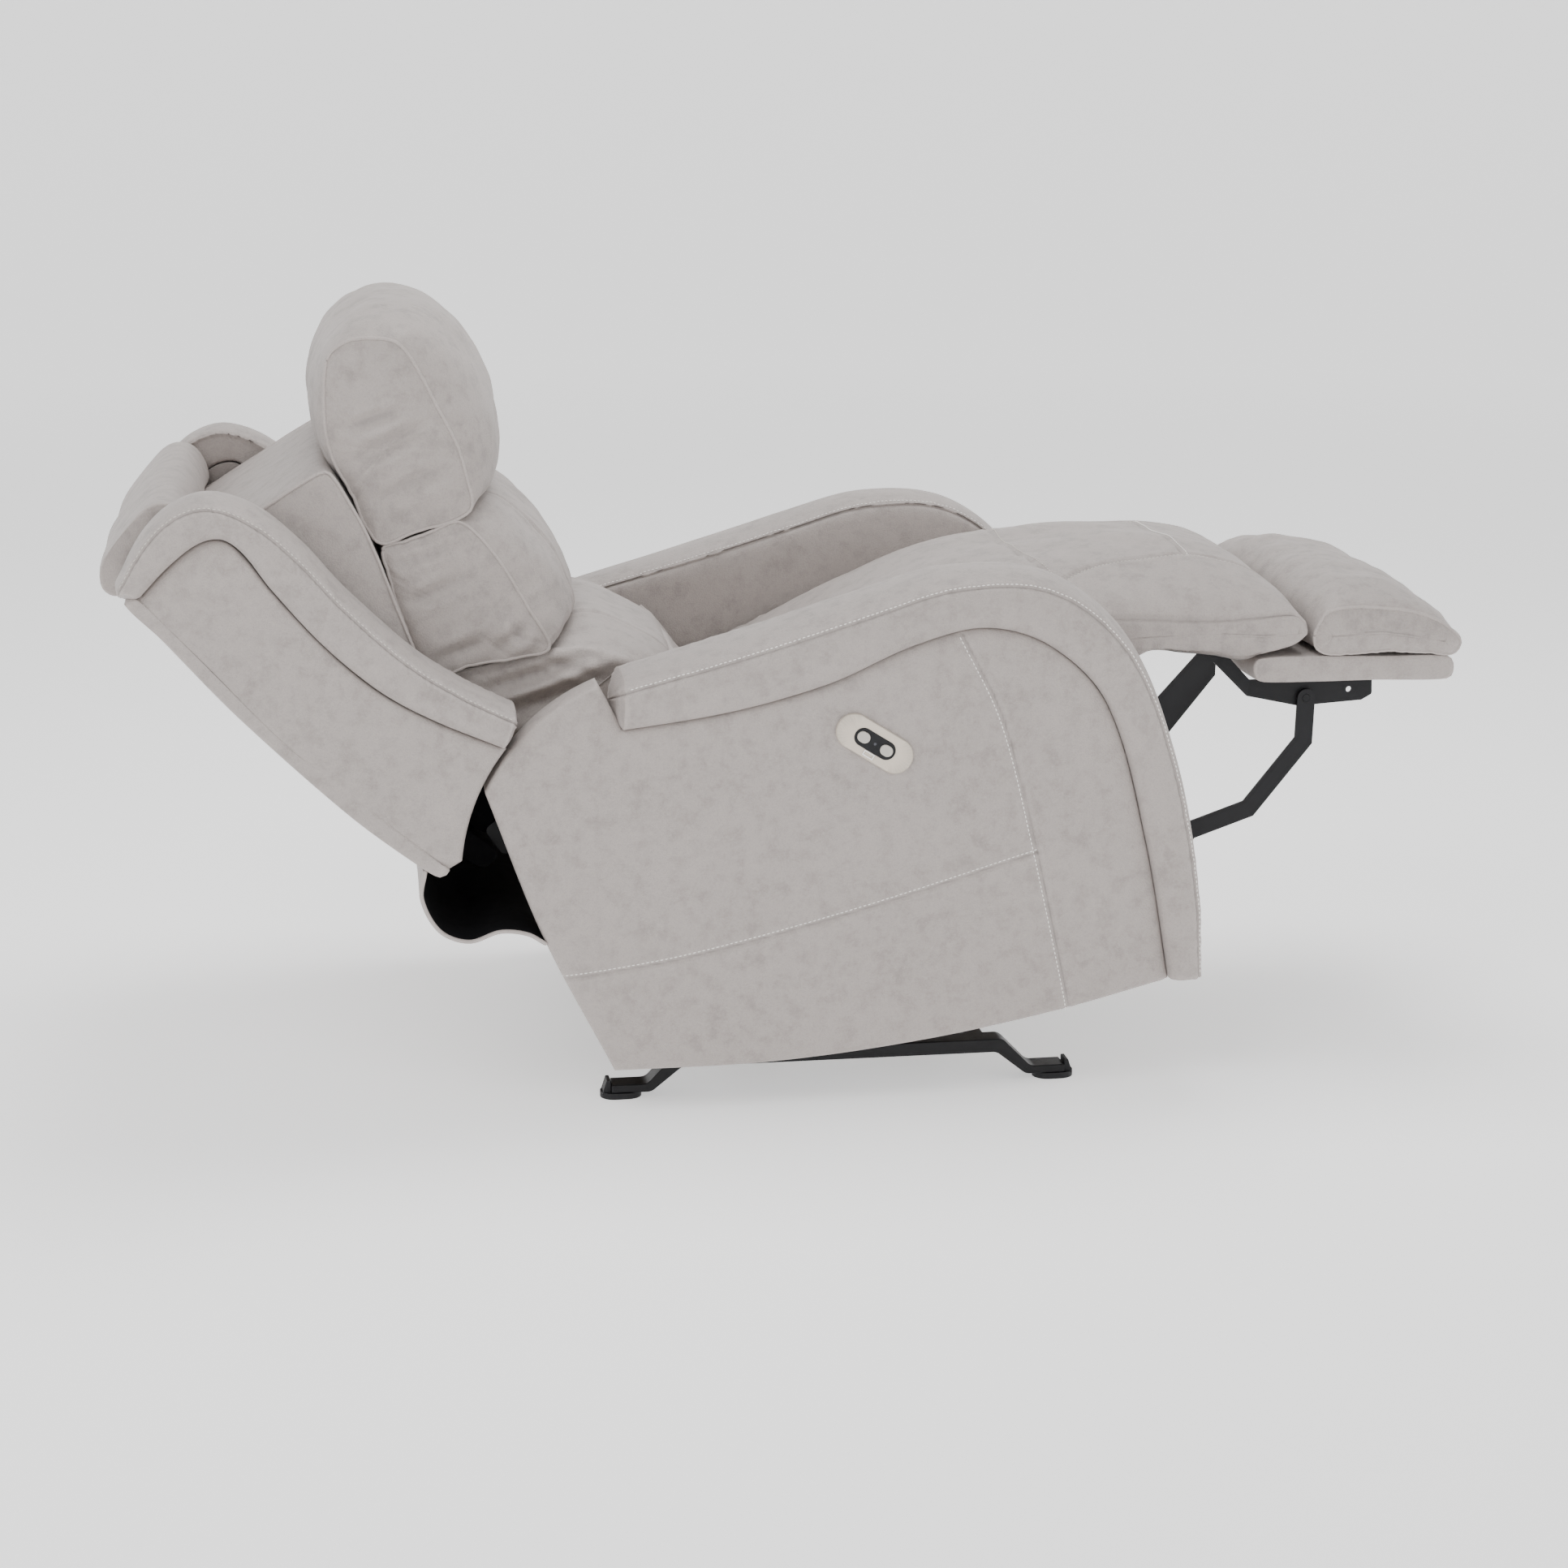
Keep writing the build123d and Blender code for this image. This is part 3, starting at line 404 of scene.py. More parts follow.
# ---------------------------------------------------------------- shader groups and materials
class Nodes:
    """Short way to add and link shader nodes."""

    def __init__(self, tree):
        self.tree = tree

    def add(self, kind, **values):
        """Node with its settings, and with its inputs where a name starts with in_."""
        node = self.tree.nodes.new(kind)
        for key, value in values.items():
            if key.startswith("in_"):
                node.inputs[key[3:].replace("_", " ")].default_value = value
            else:
                setattr(node, key, value)
        return node

    def link(self, source, target):
        """Link from an output to an input."""
        self.tree.links.new(source, target)

    def math(self, operation, a, b):
        """Result of an operation on two values or outputs."""
        node = self.add("ShaderNodeMath", operation=operation)
        for socket, value in zip(node.inputs, (a, b)):
            if isinstance(value, (int, float)):
                socket.default_value = value
            else:
                self.link(value, socket)
        return node.outputs[0]

    def ramp(self, value, low, high):
        """Smooth step from 0 at low to 1 at high."""
        node = self.add("ShaderNodeMapRange", interpolation_type="SMOOTHSTEP")
        node.inputs["From Min"].default_value = low
        node.inputs["From Max"].default_value = high
        self.link(value, node.inputs["Value"])
        return node.outputs[0]

    def blend(self, factor, a, b):
        """Colour between a and b."""
        node = self.add("ShaderNodeMix", data_type="RGBA")
        for socket, value in ((node.inputs[0], factor), (node.inputs[6], a), (node.inputs[7], b)):
            if hasattr(value, "is_output"):
                self.link(value, socket)
            else:
                socket.default_value = value
        return node.outputs[2]


def group(name, inputs, outputs):
    """Empty shader node group with named sockets."""
    tree = bpy.data.node_groups.new(name, "ShaderNodeTree")
    for label, kind, value in inputs:
        socket = tree.interface.new_socket(name=label, in_out="INPUT", socket_type=kind)
        socket.default_value = value
    for label, kind in outputs:
        tree.interface.new_socket(name=label, in_out="OUTPUT", socket_type=kind)
    return tree, tree.nodes.new("NodeGroupInput"), tree.nodes.new("NodeGroupOutput")


def mottle_group():
    """Blotchy dye: broad clouds, palm-sized patches and small flecks of lighter and darker tone."""
    tree, put, out = group(
        "Mottled dye",
        [("Vector", "NodeSocketVector", (0, 0, 0)), ("Base", "NodeSocketColor", (0.4, 0.4, 0.4, 1)),
         ("Dark", "NodeSocketColor", (0.3, 0.3, 0.3, 1)), ("Light", "NodeSocketColor", (0.5, 0.5, 0.5, 1)),
         ("Strength", "NodeSocketFloat", 0.5)],
        [("Color", "NodeSocketColor"), ("Mask", "NodeSocketFloat")],
    )
    n = Nodes(tree)
    clouds = n.add("ShaderNodeTexNoise", in_Scale=9.0, in_Detail=3.0, in_Roughness=0.6)
    patches = n.add("ShaderNodeTexNoise", in_Scale=42.0, in_Detail=8.0, in_Roughness=0.68)
    flecks = n.add("ShaderNodeTexNoise", in_Scale=240.0, in_Detail=5.0, in_Roughness=0.75)
    for node in (clouds, patches, flecks):
        n.link(put.outputs["Vector"], node.inputs["Vector"])
    dark = n.math("MULTIPLY", n.ramp(patches.outputs["Fac"], 0.44, 0.68), put.outputs["Strength"])
    light = n.math("MULTIPLY", n.ramp(flecks.outputs["Fac"], 0.42, 0.72), put.outputs["Strength"])
    broad = n.math("MULTIPLY", n.ramp(clouds.outputs["Fac"], 0.35, 0.7), put.outputs["Strength"])
    color = n.blend(dark, put.outputs["Base"], put.outputs["Dark"])
    color = n.blend(n.math("MULTIPLY", light, 0.6), color, put.outputs["Light"])
    color = n.blend(n.math("MULTIPLY", broad, 0.35), color, put.outputs["Light"])
    n.link(color, out.inputs["Color"])
    n.link(dark, out.inputs["Mask"])
    return tree


def grain_group():
    """Pebbled hide: rounded cells of uneven size, fine pores and faint stretch lines."""
    tree, put, out = group(
        "Hide grain",
        [("Vector", "NodeSocketVector", (0, 0, 0)), ("Cells", "NodeSocketFloat", 520.0)],
        [("Height", "NodeSocketFloat"), ("Pores", "NodeSocketFloat")],
    )
    n = Nodes(tree)
    warp = n.add("ShaderNodeTexNoise", in_Scale=60.0, in_Detail=2.0)
    n.link(put.outputs["Vector"], warp.inputs["Vector"])
    moved = n.add("ShaderNodeVectorMath", operation="MULTIPLY_ADD")
    moved.inputs[1].default_value = (0.006, 0.006, 0.006)
    n.link(warp.outputs["Color"], moved.inputs[0])
    n.link(put.outputs["Vector"], moved.inputs[2])
    cells = n.add("ShaderNodeTexVoronoi", feature="SMOOTH_F1", in_Randomness=1.0)
    cells.inputs["Smoothness"].default_value = 0.6
    fine = n.add("ShaderNodeTexNoise", in_Scale=900.0, in_Detail=3.0, in_Roughness=0.6)
    n.link(put.outputs["Cells"], cells.inputs["Scale"])
    n.link(moved.outputs[0], cells.inputs["Vector"])
    n.link(put.outputs["Vector"], fine.inputs["Vector"])
    pebble = n.ramp(cells.outputs["Distance"], 0.75, 0.1)
    height = n.math("ADD", pebble, n.math("MULTIPLY", fine.outputs["Fac"], 0.5))
    n.link(height, out.inputs["Height"])
    n.link(n.ramp(cells.outputs["Distance"], 0.45, 0.85), out.inputs["Pores"])
    return tree


def painted_light_group():
    """Painted highlight and painted shade from the surface's own bend: edges and ridges a little lighter,
    hollows a little darker.
    """
    tree, put, out = group(
        "Painted ridge highlight and hollow shade",
        [("Base", "NodeSocketColor", (0.4, 0.4, 0.4, 1)), ("Worn", "NodeSocketColor", (0.5, 0.5, 0.5, 1)),
         ("Soil", "NodeSocketColor", (0.2, 0.2, 0.2, 1)), ("Amount", "NodeSocketFloat", 0.5)],
        [("Color", "NodeSocketColor")],
    )
    n = Nodes(tree)
    bend = n.add("ShaderNodeNewGeometry").outputs["Pointiness"]
    # Painted highlight: ridges lighter; painted shade: hollows darker, where shade falls in creases and
    # recesses.
    highlight_mask = n.math("MULTIPLY", n.ramp(bend, 0.505, 0.56), put.outputs["Amount"])
    shade_mask = n.math("MULTIPLY", n.ramp(bend, 0.495, 0.43), put.outputs["Amount"])
    color = n.blend(highlight_mask, put.outputs["Base"], put.outputs["Worn"])
    n.link(n.blend(shade_mask, color, put.outputs["Soil"]), out.inputs["Color"])
    return tree


def place_group(n, tree, **links):
    """Group node with some of its inputs linked or set."""
    node = n.add("ShaderNodeGroup", node_tree=tree)
    for key, value in links.items():
        if hasattr(value, "is_output"):
            n.link(value, node.inputs[key])
        else:
            node.inputs[key].default_value = value
    return node


def new_material(name):
    """Material with an empty Principled BSDF, its node helper and object coordinates."""
    material = bpy.data.materials.new(name)
    material.use_nodes = True
    n = Nodes(material.node_tree)
    shader = material.node_tree.nodes["Principled BSDF"]
    place = n.add("ShaderNodeTexCoord").outputs["Object"]
    return material, n, shader, place


def tint(color, factor):
    """Colour scaled lighter or darker."""
    return tuple(min(1.0, c * factor) for c in color[:3]) + (1.0,)


def hide_leather(name, color, groups, strength=0.85, depth=0.0005):
    """Soft faux leather with mottled dye, pebbled grain, a painted highlight on ridges, painted shade in
    hollows and a dry sheen.
    """
    material, n, shader, place = new_material(name)
    dye = place_group(
        n, groups["mottle"], Vector=place, Base=tint(color, 1), Dark=tint(color, 0.74),
        Light=tint(color, 1.17), Strength=strength)
    grain = place_group(n, groups["grain"], Vector=place, Cells=560.0)
    # Painted highlight and painted shade: ridges 1.22 times lighter, hollows 0.55 times as dark.
    shaded_dye = place_group(
        n, groups["painted_shading"], Base=dye.outputs["Color"], Worn=tint(color, 1.22),
        Soil=tint(color, 0.55), Amount=0.8)
    pores = n.blend(n.math("MULTIPLY", grain.outputs["Pores"], 0.3), shaded_dye.outputs["Color"], tint(color, 0.68))
    n.link(pores, shader.inputs["Base Color"])
    n.link(n.math("ADD", n.math("MULTIPLY", dye.outputs["Mask"], 0.12), 0.56), shader.inputs["Roughness"])
    bump = n.add("ShaderNodeBump", in_Strength=0.55, in_Distance=depth)
    n.link(grain.outputs["Height"], bump.inputs["Height"])
    n.link(bump.outputs["Normal"], shader.inputs["Normal"])
    shader.inputs["Sheen Weight"].default_value = 0.12
    shader.inputs["Sheen Roughness"].default_value = 0.45
    shader.inputs["Specular IOR Level"].default_value = 0.42
    return material


def plain_finish(
    name, color, groups, roughness, metallic=0.0, grain=1400.0, depth=0.00008, coat=0.0, vary=0.35, gloss=0.5
):
    """Painted, moulded or bare metal finish: slight tone change, fine texture, a painted highlight on edges
    and painted shade in hollows.
    """
    material, n, shader, place = new_material(name)
    dye = place_group(
        n, groups["mottle"], Vector=place, Base=tint(color, 1), Dark=tint(color, 0.72),
        Light=tint(color, 1.35), Strength=vary)
    # Painted highlight on edges and ridges, painted shade in hollows, from the surface's bend.
    shaded_dye = place_group(
        n, groups["painted_shading"], Base=dye.outputs["Color"], Worn=tint(color, 1.8),
        Soil=tint(color, 0.5), Amount=0.5)
    n.link(shaded_dye.outputs["Color"], shader.inputs["Base Color"])
    n.link(n.math("ADD", n.math("MULTIPLY", dye.outputs["Mask"], 0.2), roughness), shader.inputs["Roughness"])
    texture = place_group(n, groups["grain"], Vector=place, Cells=grain)
    bump = n.add("ShaderNodeBump", in_Strength=0.4, in_Distance=depth)
    n.link(texture.outputs["Height"], bump.inputs["Height"])
    n.link(bump.outputs["Normal"], shader.inputs["Normal"])
    shader.inputs["Metallic"].default_value = metallic
    shader.inputs["Coat Weight"].default_value = coat
    shader.inputs["Specular IOR Level"].default_value = gloss
    return material


def timber_finish(name, color, groups):
    """Bare timber and plywood: long growth lines over a fine fibre."""
    material, n, shader, place = new_material(name)
    stretch = n.add("ShaderNodeMapping")
    stretch.inputs["Scale"].default_value = (3.0, 60.0, 60.0)
    n.link(place, stretch.inputs["Vector"])
    lines = n.add("ShaderNodeTexNoise", in_Scale=4.0, in_Detail=6.0, in_Roughness=0.65, in_Distortion=0.8)
    n.link(stretch.outputs[0], lines.inputs["Vector"])
    shade = n.blend(n.ramp(lines.outputs["Fac"], 0.35, 0.7), tint(color, 0.7), tint(color, 1.15))
    n.link(shade, shader.inputs["Base Color"])
    bump = n.add("ShaderNodeBump", in_Strength=0.4, in_Distance=0.0003)
    n.link(lines.outputs["Fac"], bump.inputs["Height"])
    n.link(bump.outputs["Normal"], shader.inputs["Normal"])
    shader.inputs["Roughness"].default_value = 0.7
    return material


MATERIALS = {}


def finish(name):
    """Finish made by the finishes operator."""
    if name not in MATERIALS:
        raise RuntimeError(f"the finish {name} has not been made")
    return MATERIALS[name]


# ---------------------------------------------------------------- outlines
ROLL_OUTER = [
    (-266, 601), (-125, 624), (60, 655), (170, 668), (290, 642), (374, 556), (421, 400), (434, 220),
    (424, 100),
]
ROLL_INNER = [
    (-277, 541), (-145, 542), (-20, 557), (100, 590), (190, 598), (270, 562), (335, 474),
    (366, 290), (377, 102),
]
PANEL_BOTTOM = [(-349, 102), (-154, 79), (50, 73), (230, 83), (374, 99)]
FRONT_SEAM = [(159, 593), (198, 477), (221, 303), (242, 79)]
LOWER_SEAM = [(-397, 234), (-237, 237), (-26, 260), (223, 299)]
WING_OUTER = [
    (-578, 1040), (-520, 1069), (-470, 1077), (-424, 1062), (-388, 1015), (-370, 950), (-360, 870),
    (-338, 765), (-309, 690), (-278, 632),
]
WING_INSIDE = [
    (-560, 1012), (-510, 1022), (-465, 1024), (-440, 1012), (-430, 985), (-428, 930), (-418, 840),
    (-398, 755), (-365, 685), (-316, 606),
]
REAR_LINE = [(-579, 1016), (-568, 956), (-550, 820), (-517, 651), (-485, 545), (-474, 519)]


def polar(centre, radius, degrees):
    """Point at a radius and an angle back from straight up."""
    a = np.radians(degrees)
    return (centre[0] - radius * np.sin(a), centre[1] + radius * np.cos(a))


def dressed(name, grid, amount, material, slit=False):
    """Closed piece from a capped grid, moved along its outward normals by an amount in metres."""
    normals = grid_normals(grid)
    middle = grid.reshape(-1, 3).mean(axis=0)
    if np.einsum("ijk,ijk->ij", normals, grid - middle).mean() < 0:
        normals = -normals
    amount = amount.copy()
    amount[0] = amount[0].mean()
    amount[-1] = amount[-1].mean()
    moved = grid + normals * amount[..., None]
    return closed_piece(name, moved, material, slit), moved, normals


# ---------------------------------------------------------------- rolls
ROLL_SECTION = [
    (0.00, 0.0), (0.05, 5.0), (0.22, 11.0), (0.48, 12.0), (0.70, 9.5), (0.765, 7.0), (0.84, 2.0),
    (0.955, -25.0), (1.0, -62.0), (0.965, -100.0), (0.86, -127.0), (0.83, -124.0), (0.78, -122.0),
    (0.35, -121.0), (0.06, -119.0), (0.0, -110.0), (-0.02, -60.0), (-0.02, -8.0),
]
INNER_SHARE = 0.815
ROLL_STEP = 3.6
ROLL_DEPTH = 131.0
ROLL_FLARE = (0.015, 0.009)
SEAM_POINT = 5
INNER_SEAM_POINT = 10


def roll_grid(side_frame, outer, inner, side, inner_face):
    """Padded roll: one section carried between an inner and an outer curve.

    A section point at share n and depth d is inner + (outer - inner) * n at y = panel face + d,
    with the depth scaled so that its far side reaches the roll's inner face."""
    low = resampled(smooth_curve(inner, 4.0)[0], 230)
    high = resampled(smooth_curve(outer, 4.0)[0], 230)
    section, starts = smooth_curve([(n * 100, d) for n, d in ROLL_SECTION], ROLL_STEP, closed=True)
    n = section[:, 0] / 100
    depth = section[:, 1]
    reach = (PANEL_FACE - inner_face) / ROLL_DEPTH
    y = PANEL_FACE + np.where(depth < 0, depth * reach, depth)
    x = low[:, None, 0] * (1 - n) + high[:, None, 0] * n
    z = low[:, None, 1] * (1 - n) + high[:, None, 1] * n
    sections = side_frame.at(x, z, side * y[None, :])
    return capped(sections, ROLL_FLARE, power=2.0), starts


def roll_piece(name, side_frame, outer, inner, side, inner_face, seed, material):
    """Roll with a groove at each stitched seam, soft puckers beside it, and gathered ends."""
    grid, starts = roll_grid(side_frame, outer, inner, side, inner_face)
    rows, columns = grid.shape[:2]
    column = np.arange(columns)
    amount = rumpled(grid, 0.16, 0.0007, seed)
    pucker = waves(240, seed + 5, lowest=16, terms=8)
    path_wave = np.interp(np.arange(rows), np.linspace(0, rows, 240), pucker)
    for point in (SEAM_POINT, INNER_SEAM_POINT):
        away = np.abs(column - starts[point]) * ROLL_STEP
        dip = -0.0024 * np.exp(-((away / 3.0) ** 2)) + 0.0009 * np.exp(-(((away - 11) / 6.0) ** 2))
        amount += dip[None, :]
        amount += 0.0013 * path_wave[:, None] * np.exp(-(((away - 9) / 14.0) ** 2))[None, :]
    piece, moved, normals = dressed(name, grid, amount, material)
    return piece, moved, normals, starts


# ---------------------------------------------------------------- flat panels
def coons(bottom, top, left, right, count_u, count_v):
    """Patch between four edges: the sum of both ruled surfaces less the corner surface."""
    u = np.linspace(0, 1, count_u)[:, None, None]
    v = np.linspace(0, 1, count_v)[None, :, None]
    b = resampled(bottom, count_u)[:, None]
    t = resampled(top, count_u)[:, None]
    lf = resampled(left, count_v)[None]
    rt = resampled(right, count_v)[None]
    ruled = (1 - v) * b + v * t + (1 - u) * lf + u * rt
    low = (1 - u) * (1 - v) * b[0, 0] + u * (1 - v) * b[-1, 0]
    high = (1 - u) * v * t[0, 0] + u * v * t[-1, 0]
    return ruled - low - high


def groove(flat, seam, width, depth):
    """Dip along a seam curve drawn on a flat panel, with a soft rise beside it."""
    curve = resampled(smooth_curve(seam, 6.0)[0], 220)
    best = np.full(flat.shape[:2], 1e9)
    for start in range(0, len(curve), 20):
        part = curve[start:start + 20]
        distance = np.linalg.norm(flat[:, :, None] - part[None, None], axis=-1).min(axis=2)
        best = np.minimum(best, distance)
    r = best / width
    return -depth * np.exp(-(r**2)) + 0.35 * depth * np.exp(-(((r - 3) / 2.4) ** 2))


EDGE_DROP = 7.0
GROOVE_WIDTH = 2.2
GROOVE_DEPTH = 2.4


def panel_piece(name, side_frame, flat, side, face, inner, puff, seams, seed, material, turn=1):
    """Padded slab: a patch pushed out by puff in its middle, with grooves, and walls to its inner face.

    turn is 1 for a face away from the chair's middle and -1 for a face towards it."""
    count_u, count_v = flat.shape[:2]
    u = np.linspace(-1, 1, count_u)[:, None]
    v = np.linspace(-1, 1, count_v)[None, :]
    swell = (1 - np.abs(u) ** 14) * (1 - np.abs(v) ** 10)
    rise = puff * swell**0.5 - EDGE_DROP * (1 - swell**0.35)
    for seam in seams:
        rise = rise + groove(flat, seam, GROOVE_WIDTH, GROOVE_DEPTH)
    place = side_frame.at(flat[..., 0], flat[..., 1], 0 * flat[..., 0])
    rise = rise + rumpled(place, 0.22, 1.1, seed)
    front = side_frame.at(flat[..., 0], flat[..., 1], side * (face + turn * rise))
    total = count_u * count_v
    index = np.arange(total).reshape(count_u, count_v)
    border = np.concatenate([index[:, 0], index[-1, 1:], index[-2::-1, -1], index[0, -2:0:-1]])
    outline = flat.reshape(-1, 2)[border]
    rear = side_frame.at(outline[:, 0], outline[:, 1], np.full(len(border), side * inner))
    points = np.concatenate([front.reshape(-1, 3), rear])
    own = np.arange(len(border)) + total
    walls = np.stack([border, np.roll(border, -1), np.roll(own, -1), own], axis=1)
    faces = quads(count_u, count_v, False).tolist() + walls[:, ::-1].tolist()
    middle = (count_u // 2, count_v // 2)
    across = np.cross(
        front[middle[0] + 1, middle[1]] - front[middle], front[middle[0], middle[1] + 1] - front[middle])[1]
    if across * side * turn < 0:
        faces = [face[::-1] for face in faces]
        own = own[::-1]
    piece = mesh_piece(name, points, faces + [own.tolist()], material)
    ends = np.empty(2 * len(piece.data.edges), int)
    piece.data.edges.foreach_get("vertices", ends)
    sharp = piece.data.attributes.new("sharp_edge", "BOOLEAN", "EDGE")
    sharp.data.foreach_set("value", (ends.reshape(-1, 2) >= total).all(axis=1))
    return piece, front


def seam_on_panel(front, side_frame, seam, side, offset):
    """Path and outward normals of a seam on a panel's face, moved sideways by an offset."""
    curve = resampled(smooth_curve(seam, 5.0)[0], 160)
    tangent = np.gradient(curve, axis=0)
    tangent /= np.linalg.norm(tangent, axis=1, keepdims=True)
    moved = curve + np.stack([-tangent[:, 1], tangent[:, 0]], axis=1) * offset
    path = side_frame.at(moved[:, 0], moved[:, 1], np.zeros(len(curve)))
    face = front.reshape(-1, 3)
    for i, point in enumerate(path):
        gaps = (face[:, 0] - point[0]) ** 2 + (face[:, 2] - point[2]) ** 2
        path[i, 1] = face[np.argmin(gaps), 1]
    normal = np.zeros_like(path)
    normal[:, 1] = side
    return path, normal


def arm_patch():
    """Flat outline of the arm's outer panel as a patch of (forward, up) points."""
    roll = smooth_curve(ROLL_INNER, 4.0)[0] - (1.0, 1.0)
    corner = int(np.argmin(np.abs(roll[:, 0] - 300) + np.abs(roll[:, 1] - 530)))
    arc = np.array([polar(BACK_PIVOT, ARM_ARC, a) for a in np.linspace(57.3, 14, 14)])
    rear = np.array([(-349.0, 102.0), (-413.0, 290.0), arc[0]])
    left = np.concatenate([resampled(smooth_curve(rear, 8.0)[0], 30)[:-1], arc])
    top = np.concatenate([[arc[-1]], roll[:corner + 1]])
    right = roll[corner:][::-1]
    bottom = smooth_curve(PANEL_BOTTOM, 6.0)[0]
    bottom[-1] = right[0]
    return coons(bottom, top, left, right, 300, 210)


def inner_patch():
    """Flat outline of the arm's inner panel, up to the roll's inner seam."""
    low = resampled(smooth_curve(ROLL_INNER, 4.0)[0], 200)
    high = resampled(smooth_curve(ROLL_OUTER, 4.0)[0], 200)
    seam = low * (1 - INNER_SHARE) + high * INNER_SHARE
    corner = int(np.argmin(np.abs(seam[:, 0] - 355) + np.abs(seam[:, 1] - 560)))
    rear = smooth_curve([(-392, 345), (-392, 470), (-335, 545), tuple(seam[0])], 8.0)[0]
    under = smooth_curve([(-392, 345), (-100, 335), (180, 310), (320, 240), tuple(seam[-1])], 8.0)[0]
    return coons(under, seam[:corner + 1], rear, seam[corner:][::-1], 170, 110)


def wing_patch():
    """Flat outline of the wing's outer panel."""
    roll = smooth_curve(WING_INSIDE, 4.0)[0] - (1.5, 0.5)
    corner = int(np.argmin(np.abs(roll[:, 0] + 433) + np.abs(roll[:, 1] - 1000)))
    arc = np.array([polar(BACK_PIVOT, WING_ARC, a) for a in np.linspace(50, 17, 12)])
    rear = smooth_curve([(x + 6, z) for x, z in REAR_LINE], 8.0)[0]
    left = rear[::-1].copy()
    bottom = np.concatenate([left[:1], arc])
    top = roll[:corner + 1].copy()
    top[0] = left[-1]
    right = roll[corner:][::-1].copy()
    right[0] = bottom[-1]
    return coons(bottom, top, left, right, 130, 170)


# ---------------------------------------------------------------- properties
class ReclinerSizes(bpy.types.PropertyGroup):
    """Sizes that change how full and how deep the upholstery is."""

    swell: bpy.props.FloatProperty(
        name="Panel swell", description="How far the flat panels puff out", default=0.005, unit="LENGTH")
    pleat: bpy.props.FloatProperty(
        name="Pleat depth", description="Depth of the gathers beside a seam", default=0.004, unit="LENGTH")
    stitch: bpy.props.FloatProperty(
        name="Stitch pitch", description="Distance from stitch to stitch", default=0.006, unit="LENGTH")
    welt: bpy.props.FloatProperty(
        name="Seam welt", description="Radius of the rolled seam between panels", default=0.0022,
        unit="LENGTH")


class ReclinerColours(bpy.types.PropertyGroup):
    """Colours of the finishes."""

    hide: bpy.props.FloatVectorProperty(
        name="Leather", description="Colour of the leather", subtype="COLOR", size=3,
        default=(0.375, 0.335, 0.316))
    thread: bpy.props.FloatVectorProperty(
        name="Thread", description="Colour of the topstitching", subtype="COLOR", size=3,
        default=(0.86, 0.82, 0.75))
    steel: bpy.props.FloatVectorProperty(
        name="Steel", description="Colour of the painted steel", subtype="COLOR", size=3,
        default=(0.006, 0.006, 0.007))
    plate: bpy.props.FloatVectorProperty(
        name="Control plate", description="Colour of the control plate", subtype="COLOR", size=3,
        default=(0.46, 0.405, 0.34))


def sizes():
    """The chair's size settings."""
    return bpy.context.scene.recliner_sizes


class RECLINER_OT_finishes(bpy.types.Operator):
    """Make the shader groups and every finish, and give the frame's own parts theirs"""

    bl_idname = "recliner.finishes"
    bl_label = "Finishes"

    def execute(self, context):
        colours = context.scene.recliner_colours
        # The curvature group paints a highlight on ridges and shade in hollows.
        groups = {"mottle": mottle_group(), "grain": grain_group(), "painted_shading": painted_light_group()}
        MATERIALS["leather"] = hide_leather("Taupe leather", colours.hide, groups)
        MATERIALS["timber"] = timber_finish("Bare timber", (0.5, 0.37, 0.23), groups)
        for key, name, color, roughness, more in (
            ("lining", "Black lining cloth", (0.006, 0.006, 0.007), 0.9, {"depth": 0.0004, "gloss": 0.1}),
            ("thread", "Pale thread", colours.thread, 0.7, {"depth": 0.0001}),
            ("steel", "Black satin steel", colours.steel, 0.42, {"gloss": 0.25}),
            ("wire", "Spring wire", (0.32, 0.32, 0.33), 0.35, {"metallic": 1.0}),
            ("moulding", "Black moulding", (0.008, 0.008, 0.009), 0.5, {"gloss": 0.25}),
            ("plate", "Champagne plate", colours.plate, 0.36, {"metallic": 0.15, "coat": 0.2}),
            ("buttons", "Button plastic", (0.5, 0.47, 0.42), 0.4, {"coat": 0.1, "vary": 0.1}),
            ("port", "Port shell", (0.74, 0.74, 0.74), 0.22, {"metallic": 1.0, "vary": 0.1}),
            ("lamp", "Lamp lens", (0.02, 0.022, 0.03), 0.12, {"coat": 0.6, "vary": 0.1}),
        ):
            MATERIALS[key] = plain_finish(name, color, groups, roughness, **more)
        by_slot = {
            "leather": "leather", "black_steel": "steel", "spring_steel": "wire", "wood": "timber",
            "black_plastic": "moulding", "beige_metal": "plate", "button_plastic": "buttons",
            "port_steel": "port", "lamp": "lamp",
        }
        slots = {row["node"]: row["material_slot"] for row in frame["record"]["subparts"]}
        for node, thing in frame["nodes"].items():
            material = finish(by_slot[slots[node]])
            thing.data.materials.clear()
            thing.data.materials.append(material)
        return {"FINISHED"}


